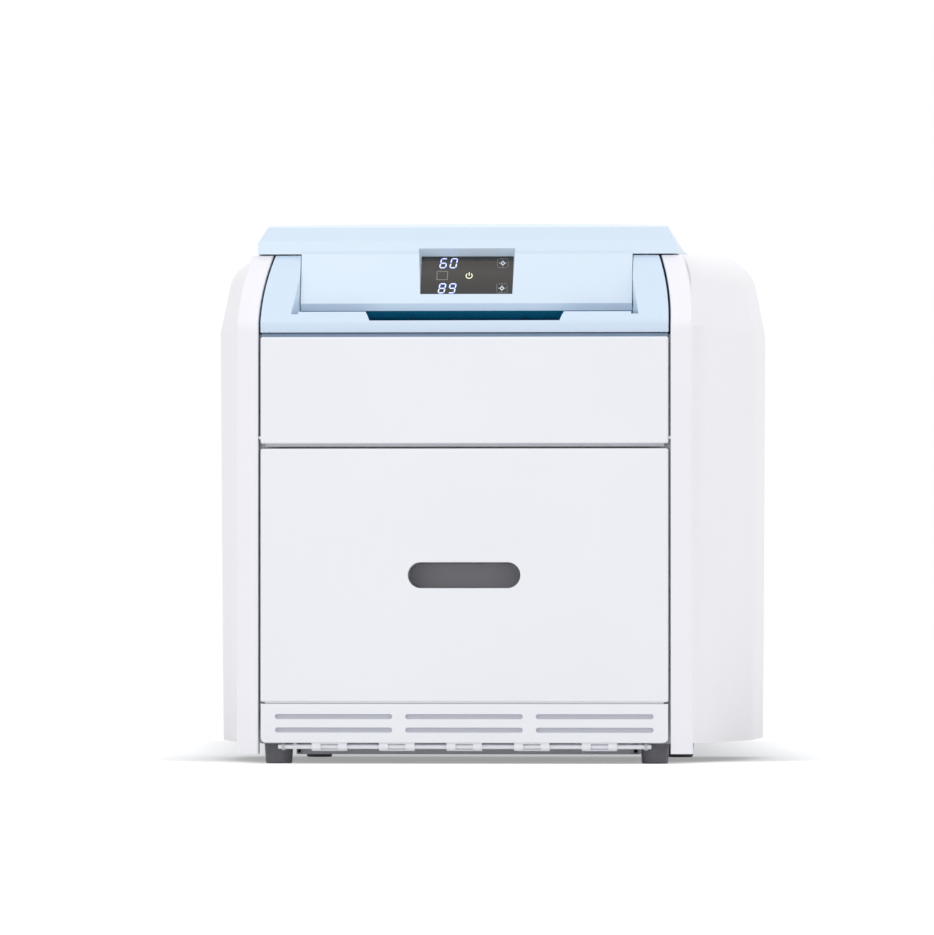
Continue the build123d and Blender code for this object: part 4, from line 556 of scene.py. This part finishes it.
# and a soft bead closes the one over the upper door
seal = {"inset": 1.0, "setBack": 7.0, "depth": 3.6, "rise": 4.6, "lap": 0.3, "wall": 0.4,
        "steps": 8}


def topSeal(name, node, body):
    # rubber bead along the top of a door: a foot let into the door, two walls and a round back
    low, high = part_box(node)
    edge = high.z / millimetre
    front = low.y / millimetre + seal["setBack"]
    middle, back = front + seal["depth"] / 2, front + seal["depth"]
    bead = [(front, edge - seal["lap"])]
    for step in range(seal["steps"] + 1):
        angle = math.pi * step / seal["steps"]
        arch = seal["wall"] + (1 - seal["wall"]) * math.sin(angle)
        bead.append((middle - (middle - front) * math.cos(angle), edge + seal["rise"] * arch))
    bead.append((back, edge - seal["lap"]))
    addBar(name, bead, high.x / millimetre - seal["inset"], sealRubber, body)


doorLip("jamDoorLip", "jam_door_panel", lips["jamBack"], lips["jamDrop"], "jam_door")
topSeal("jamDoorSeal", "jam_door_panel", "jam_door")
doorLip("drawerLip", "drawer_front", lips["drawerBack"], lips["drawerDrop"], "film_drawer")

# a crest stands behind the bezel's lip on each side of its notch and carries its slope on up
crest = {
    # back from the bezel's face and up from its lower edge
    "profile": ((5.0, 13.5), (5.0, 20.2), (6.7, 23.0), (10.0, 23.0), (10.0, 13.5)),
    "notchHalf": 105.2, "notchFoot": 13.0, "notchLean": 0.44, "recessHalf": 183.8,
}
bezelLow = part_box("front_bezel")[0]
crests = bmesh.new()
for side in (-1, 1):
    ends = []
    for atNotch in (True, False):
        row = []
        for back, up in crest["profile"]:
            fromNotch = crest["notchHalf"] + (up - crest["notchFoot"]) * crest["notchLean"]
            across = side * (fromNotch if atNotch else crest["recessHalf"])
            row.append(crests.verts.new(bezelLow * Vector((0, 1, 1))
                                        + Vector((across, back, up)) * millimetre))
        ends.append(row)
    crests.faces.new(ends[0])
    crests.faces.new(ends[1][::-1])
    for i in range(len(ends[0])):
        j = (i + 1) % len(ends[0])
        crests.faces.new((ends[0][i], ends[1][i], ends[1][j], ends[0][j]))
bmesh.ops.recalc_face_normals(crests, faces=crests.faces)
finishMesh("lipCrest", crests, bezelBlue, "chassis")
print("fleece, lips, seal and crest made")

# half way back the side covers stand out further than their solids do
# a station is a depth, the solid's outer wall there and what the wall gains
cover = {"innerX": 233.0, "sharp": 0.5,
         "stations": ((-276.0, 238.0, 0.0), (-200.0, 252.5, 3.3), (50.0, 286.5, 14.3),
                      (132.0, 297.0, 5.5), (300.0, 303.5, 0.0))}


def atDepth(depth):
    # the solid's wall and its gain at a depth, in a straight line between the stations
    stations = cover["stations"]
    for near, far in zip(stations, stations[1:]):
        if depth <= far[0]:
            share = max(0.0, (depth - near[0]) / (far[0] - near[0]))
            return [near[i] + share * (far[i] - near[i]) for i in (1, 2)]
    return stations[-1][1:]


def fullCover(name, node):
    # the node's own surface, cut at each station and drawn outwards; its inner edge stays put
    build = bmesh.new()
    build.from_mesh(nodes[node].data)
    bmesh.ops.remove_doubles(build, verts=build.verts, dist=1e-6)
    for station in cover["stations"][1:-1]:
        bmesh.ops.bisect_plane(build, geom=build.verts[:] + build.edges[:] + build.faces[:],
                               plane_co=(0, station[0] * millimetre, 0), plane_no=(0, 1, 0))
    for point in build.verts:
        wall, gain = atDepth(point.co.y / millimetre)
        reach = abs(point.co.x) / millimetre
        reach += max(0.0, (reach - cover["innerX"]) / (wall - cover["innerX"])) * gain
        point.co.x = math.copysign(reach * millimetre, point.co.x)
    for face in build.faces:
        face.smooth = True
    for edge in build.edges:
        edge.smooth = len(edge.link_faces) == 2 and edge.calc_face_angle() < cover["sharp"]
    piece = finishMesh(name, build, coverWhite, "chassis")
    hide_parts(node)


fullCover("rightCoverFull", "right_side_cover")
fullCover("leftCoverFull", "left_side_cover")
print("side covers made")

# plates that close the covers' rounded corners over the rear panel, lapped behind its top edge
corner = {
    "centreIn": 54.9, "centreDown": 47.3,          # from the cover's outermost and top edges
    "radius": 41.7, "arcStart": 15.7, "arcSweep": 68.1, "arcPoints": 14,
    "clear": 0.6, "topDown": 4.1, "lap": 8.0, "thick": 1.8,
}
coverLow, coverHigh = (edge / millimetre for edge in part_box("right_side_cover"))
panelLow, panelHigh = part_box("rear_panel")
curve = circlePoints((coverHigh.x - corner["centreIn"], coverHigh.z - corner["centreDown"]),
                     corner["radius"], corner["arcPoints"], corner["arcStart"], corner["arcSweep"])
innerEdge = coverLow.x + corner["clear"]
outline = [(innerEdge, panelHigh.z / millimetre - corner["lap"]), *curve,
           (innerEdge, coverHigh.z - corner["topDown"])]
plateFront = panelLow.y / millimetre - corner["thick"]
plates = bmesh.new()
for side in (-1, 1):
    addPrism(plates, [(side * u, v) for u, v in outline],
             lambda u, v, w: Vector((u, plateFront + w, v)) * millimetre, corner["thick"])
bmesh.ops.recalc_face_normals(plates, faces=plates.faces)
finishMesh("rearCornerPlates", plates, panelPaint, "chassis")
print("rear corner plates made")


def screwTree():
    # points in, screw heads out: each is turned by its own amount about the given axis
    tree = bpy.data.node_groups.new("screwHeads", "GeometryNodeTree")
    for label, kind in (("Geometry", "Geometry"), ("Head", "Object"), ("Head Size", "Float"),
                        ("Turn", "Rotation"), ("Material", "Material")):
        tree.interface.new_socket(label, in_out="INPUT", socket_type="NodeSocket" + kind)
    tree.interface.new_socket("Geometry", in_out="OUTPUT", socket_type="NodeSocketGeometry")
    given = addNode(tree, "NodeGroupInput")
    source = addNode(tree, "GeometryNodeObjectInfo", None, {"Object": given.outputs["Head"]})
    spin = addNode(tree, "FunctionNodeRandomValue", {"data_type": "FLOAT"},
                   {2: 0.0, 3: math.pi, "Seed": 7})
    about = addNode(tree, "FunctionNodeAxisAngleToRotation", None,
                    {"Axis": (0, 0, 1), "Angle": spin.outputs[1]})
    turned = addNode(tree, "FunctionNodeRotateRotation", {"rotation_space": "LOCAL"},
                     {"Rotation": given.outputs["Turn"], "Rotate By": about.outputs[0]})
    placed = addNode(tree, "GeometryNodeInstanceOnPoints", None,
                     {"Points": given.outputs["Geometry"], "Instance": source.outputs["Geometry"],
                      "Rotation": turned.outputs[0], "Scale": given.outputs["Head Size"]})
    real = addNode(tree, "GeometryNodeRealizeInstances", None, {"Geometry": placed.outputs[0]})
    painted = addNode(tree, "GeometryNodeSetMaterial", None,
                      {"Geometry": real.outputs[0], "Material": given.outputs["Material"]})
    addNode(tree, "NodeGroupOutput", None, {"Geometry": painted.outputs[0]})
    return tree


def runTree(name, points, tree, values, body):
    # evaluate the tree on a mesh of points and keep the result as a plain mesh
    pointMesh = bpy.data.meshes.new(name + "Points")
    pointMesh.from_pydata([tuple(p) for p in points], [], [])
    carrier = linkNew(name + "Carrier", pointMesh)
    modifier = carrier.modifiers.new("nodes", "NODES")
    modifier.node_group = tree
    sockets = {item.name: item.identifier for item in tree.interface.items_tree
               if item.in_out == "INPUT"}
    for label, value in values.items():
        modifier[sockets[label]] = value
    mesh = evaluatedMesh(carrier)
    bpy.data.objects.remove(carrier)
    mesh.name = name
    placePiece(name, mesh, body)


# pan head of radius 1 with a cross recess, standing on its own plane along +Z
panHead = {"profile": ((0.45, 0.60), (0.8, 0.46), (0.97, 0.22), (1.0, 0.0)), "sides": 24,
           "crossReach": 0.62, "crossHalf": 0.16, "crossFoot": 0.28, "crossDepth": 0.6}


def screwHead():
    build = bmesh.new()
    rings = [[build.verts.new((u, v, height))
              for u, v in circlePoints((0, 0), radius, panHead["sides"])]
             for radius, height in panHead["profile"]]
    for upper, lower in zip(rings, rings[1:]):
        for i in range(panHead["sides"]):
            j = (i + 1) % panHead["sides"]
            build.faces.new((lower[i], lower[j], upper[j], upper[i]))
    build.faces.new(rings[0])
    build.faces.new(rings[-1][::-1])
    head = linkNew("panHead", meshFrom("panHead", build))
    cross = bmesh.new()
    reach, half = panHead["crossReach"], panHead["crossHalf"]
    for wide, tall in ((reach, half), (half, reach)):
        addPrism(cross, rectangle(-wide, -tall, wide, tall),
                 lambda u, v, w: Vector((u, v, panHead["crossFoot"] + w)), panHead["crossDepth"])
    cutter = linkNew("crossCut", meshFrom("crossCut", cross))
    cut = head.modifiers.new("cut", "BOOLEAN")
    cut.operation = "DIFFERENCE"
    cut.solver = "EXACT"
    cut.use_self = True
    cut.object = cutter
    cutMesh = evaluatedMesh(head)
    head.modifiers.clear()
    head.data = cutMesh
    bpy.data.objects.remove(cutter)
    return head


# screws on the back: up both sides of the panel, along its top and foot, round fan and inlet
screws = {
    "panelRadius": 4.0, "fanRadius": 3.6, "inletRadius": 2.6,
    "panelInset": 14.0, "sideHeights": (170.0, 320.0, 470.0), "topReach": 225.0,
    "footReach": 100.0, "fanReach": 52.5, "inletReach": 26.8,
}
fanLow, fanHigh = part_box("fan_frame")
inletLow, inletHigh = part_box("power_inlet")
inset = screws["panelInset"] * millimetre
sideZs = [panelLow.z + inset] + [height * millimetre for height in screws["sideHeights"]]
panelPoints = [(side * (panelHigh.x - inset), panelHigh.y, z) for side in (-1, 1) for z in sideZs]
panelPoints += [(side * screws["topReach"] * millimetre, panelHigh.y, panelHigh.z - inset)
                for side in (-1, 0, 1)]
panelPoints += [(side * screws["footReach"] * millimetre, panelHigh.y, panelLow.z + inset)
                for side in (-1, 1)]
fanCentre = (fanLow + fanHigh) / 2
fanReach = screws["fanReach"] * millimetre
fanPoints = [(fanCentre.x + i * fanReach, panelHigh.y, fanCentre.z + j * fanReach)
             for i in (-1, 1) for j in (-1, 1)]
inletCentre = (inletLow + inletHigh) / 2
inletPoints = [(inletCentre.x + side * screws["inletReach"] * millimetre, inletHigh.y,
                inletCentre.z) for side in (-1, 1)]
head = screwHead()
tree = screwTree()
facingBack = Matrix.Rotation(math.radians(-90), 4, "X").to_euler()
for name, points, radius in (("panelScrews", panelPoints, screws["panelRadius"]),
                             ("fanScrews", fanPoints, screws["fanRadius"]),
                             ("inletScrews", inletPoints, screws["inletRadius"])):
    runTree(name, points, tree,
            {"Head": head, "Head Size": radius * millimetre, "Turn": facingBack,
             "Material": shaftMetal}, "chassis")
bpy.data.objects.remove(head)
print("screws made:", len(panelPoints) + len(fanPoints) + len(inletPoints))


def eyeRays(tree):
    # 1 for what the camera, gloss and glass see, 0 for the light that reaches the object
    path = addNode(tree, "ShaderNodeLightPath")
    seen = addNode(tree, "ShaderNodeMath", {"operation": "MAXIMUM"},
                   {0: path.outputs["Is Camera Ray"], 1: path.outputs["Is Glossy Ray"]})
    seen = addNode(tree, "ShaderNodeMath", {"operation": "MAXIMUM"},
                   {0: seen.outputs[0], 1: path.outputs["Is Transmission Ray"]})
    return seen.outputs[0]


# in metres; a soft painted shadow, a pool of greyer floor, lies under the object and behind it
studioFloor = {
    "extent": (-14, -13, 14, 14), "colour": "#f0f0f1", "glow": 0.34,
    "paintedShadowColour": "#72787d", "paintedShadowGlow": 0.33, "paintedShadowTurn": -4.2, "paintedShadowCentre": (0.01, 0.85),
    "paintedShadowHalf": (0.19, 0.85), "paintedShadowFade": 0.28,
}


def paleFloor(name):
    # matt painted board: the camera, gloss and glass see it near white outside the pool, which
    # keeps its shadow; inside the pool a darker colour and a weaker glow are painted shadow;
    # the object is lit by its plain colour
    material, tree, shader, place = newMaterial(name)
    turned = addNode(tree, "ShaderNodeMapping", None,
                     {"Vector": place, "Rotation": (0, 0, math.radians(studioFloor["paintedShadowTurn"]))})
    centred = addNode(tree, "ShaderNodeVectorMath", {"operation": "SUBTRACT"},
                      {0: turned.outputs[0], 1: (*studioFloor["paintedShadowCentre"], 0)})
    away = addNode(tree, "ShaderNodeVectorMath", {"operation": "ABSOLUTE"},
                   {0: centred.outputs[0]})
    beyond = addNode(tree, "ShaderNodeVectorMath", {"operation": "SUBTRACT"},
                     {0: away.outputs[0], 1: (*studioFloor["paintedShadowHalf"], 0)})
    outside = addNode(tree, "ShaderNodeVectorMath", {"operation": "MAXIMUM"},
                      {0: beyond.outputs[0], 1: (0, 0, 0)})
    distance = addNode(tree, "ShaderNodeVectorMath", {"operation": "LENGTH"},
                       {0: outside.outputs[0]})
    # 0 inside the pool of painted shadow and 1 clear of it; the floor's colour and glow below
    # follow it
    outsidePaintedShadow = addNode(tree, "ShaderNodeMapRange", {"interpolation_type": "SMOOTHSTEP"},
                      {"Value": distance.outputs["Value"], "From Min": 0.0,
                       "From Max": studioFloor["paintedShadowFade"]})
    glowHere = addNode(tree, "ShaderNodeMapRange", None,
                       {"Value": outsidePaintedShadow.outputs[0], "To Min": studioFloor["paintedShadowGlow"],
                        "To Max": studioFloor["glow"]})
    tone = addNode(tree, "ShaderNodeMix", {"data_type": "RGBA"},
                   {0: outsidePaintedShadow.outputs[0], 6: fromHex(studioFloor["paintedShadowColour"]),
                    7: fromHex(studioFloor["colour"])})
    amount = addNode(tree, "ShaderNodeMath", {"operation": "MULTIPLY"},
                     {0: eyeRays(tree), 1: glowHere.outputs[0]})
    tree.links.new(tone.outputs[2], shader.inputs["Base Color"])
    tree.links.new(amount.outputs[0], shader.inputs["Emission Strength"])
    shader.inputs["Roughness"].default_value = 0.9
    shader.inputs["Emission Color"].default_value = (1, 1, 1, 1)
    return material


floorMesh = bpy.data.meshes.new("studioFloor")
floorMesh.from_pydata([(x, y, 0) for x, y in rectangle(*studioFloor["extent"])], [],
                      [(0, 1, 2, 3)])
floorMesh.materials.append(paleFloor("studioFloorWhite"))
linkNew("studioFloor", floorMesh)

lighting = {"ambient": 0.785, "backdrop": 1.0, "aim": (0, 0, 0.3)}
world = bpy.data.worlds.new("studioWorld")
bpy.context.scene.world = world
world.use_nodes = True
sky = world.node_tree
sky.nodes.clear()
strength = addNode(sky, "ShaderNodeMapRange", None,
                   {"Value": eyeRays(sky), "To Min": lighting["ambient"],
                    "To Max": lighting["backdrop"]})
background = addNode(sky, "ShaderNodeBackground", None,
                     {"Color": fromHex("#ffffff"), "Strength": strength.outputs[0]})
addNode(sky, "ShaderNodeOutputWorld", None, {"Surface": background.outputs[0]})

# soft boxes: the key from the front left, a weak one overhead and a fill from the right
lamps = {
    "keySoftbox": {"place": (-1.6, -3.2, 3.0), "size": (2.4, 2.0), "watts": 35.0},
    "topSoftbox": {"place": (0.4, 0.2, 3.4), "size": (2.6, 2.6), "watts": 14.0},
    "rightFill": {"place": (3.0, -0.5, 3.0), "size": (1.6, 2.2), "watts": 17.0},
}
for name, lamp in lamps.items():
    light = bpy.data.lights.new(name, "AREA")
    light.shape = "RECTANGLE"
    light.size, light.size_y = lamp["size"]
    light.energy = lamp["watts"]
    holder = linkNew(name, light)
    holder.location = lamp["place"]
    aim = Vector(lighting["aim"]) - holder.location
    holder.rotation_euler = aim.to_track_quat("-Z", "Y").to_euler()

# metres and degrees: a long lens from far off, nearly level and a little to the right
shot = {"distance": 12.0, "azimuth": 4.2, "height": 0.174, "aim": (0.0033, -0.3, 0.326),
        "frameWidth": 1.0274, "sensor": 36.0, "clip": 60}
camera = bpy.data.cameras.new("photoCamera")
camera.sensor_fit = "HORIZONTAL"
camera.sensor_width = shot["sensor"]
camera.lens = shot["sensor"] * shot["distance"] / shot["frameWidth"]
camera.clip_end = shot["clip"]
cameraHolder = linkNew("photoCamera", camera)
turn = math.radians(shot["azimuth"])
aimPoint = Vector(shot["aim"])
cameraHolder.location = (aimPoint.x + shot["distance"] * math.sin(turn),
                         aimPoint.y - shot["distance"] * math.cos(turn), shot["height"])
sight = aimPoint - cameraHolder.location
cameraHolder.rotation_euler = sight.to_track_quat("-Z", "Y").to_euler()
bpy.context.scene.camera = cameraHolder
bpy.context.scene.view_settings.view_transform = "Standard"
print("studio, lamps and camera made")
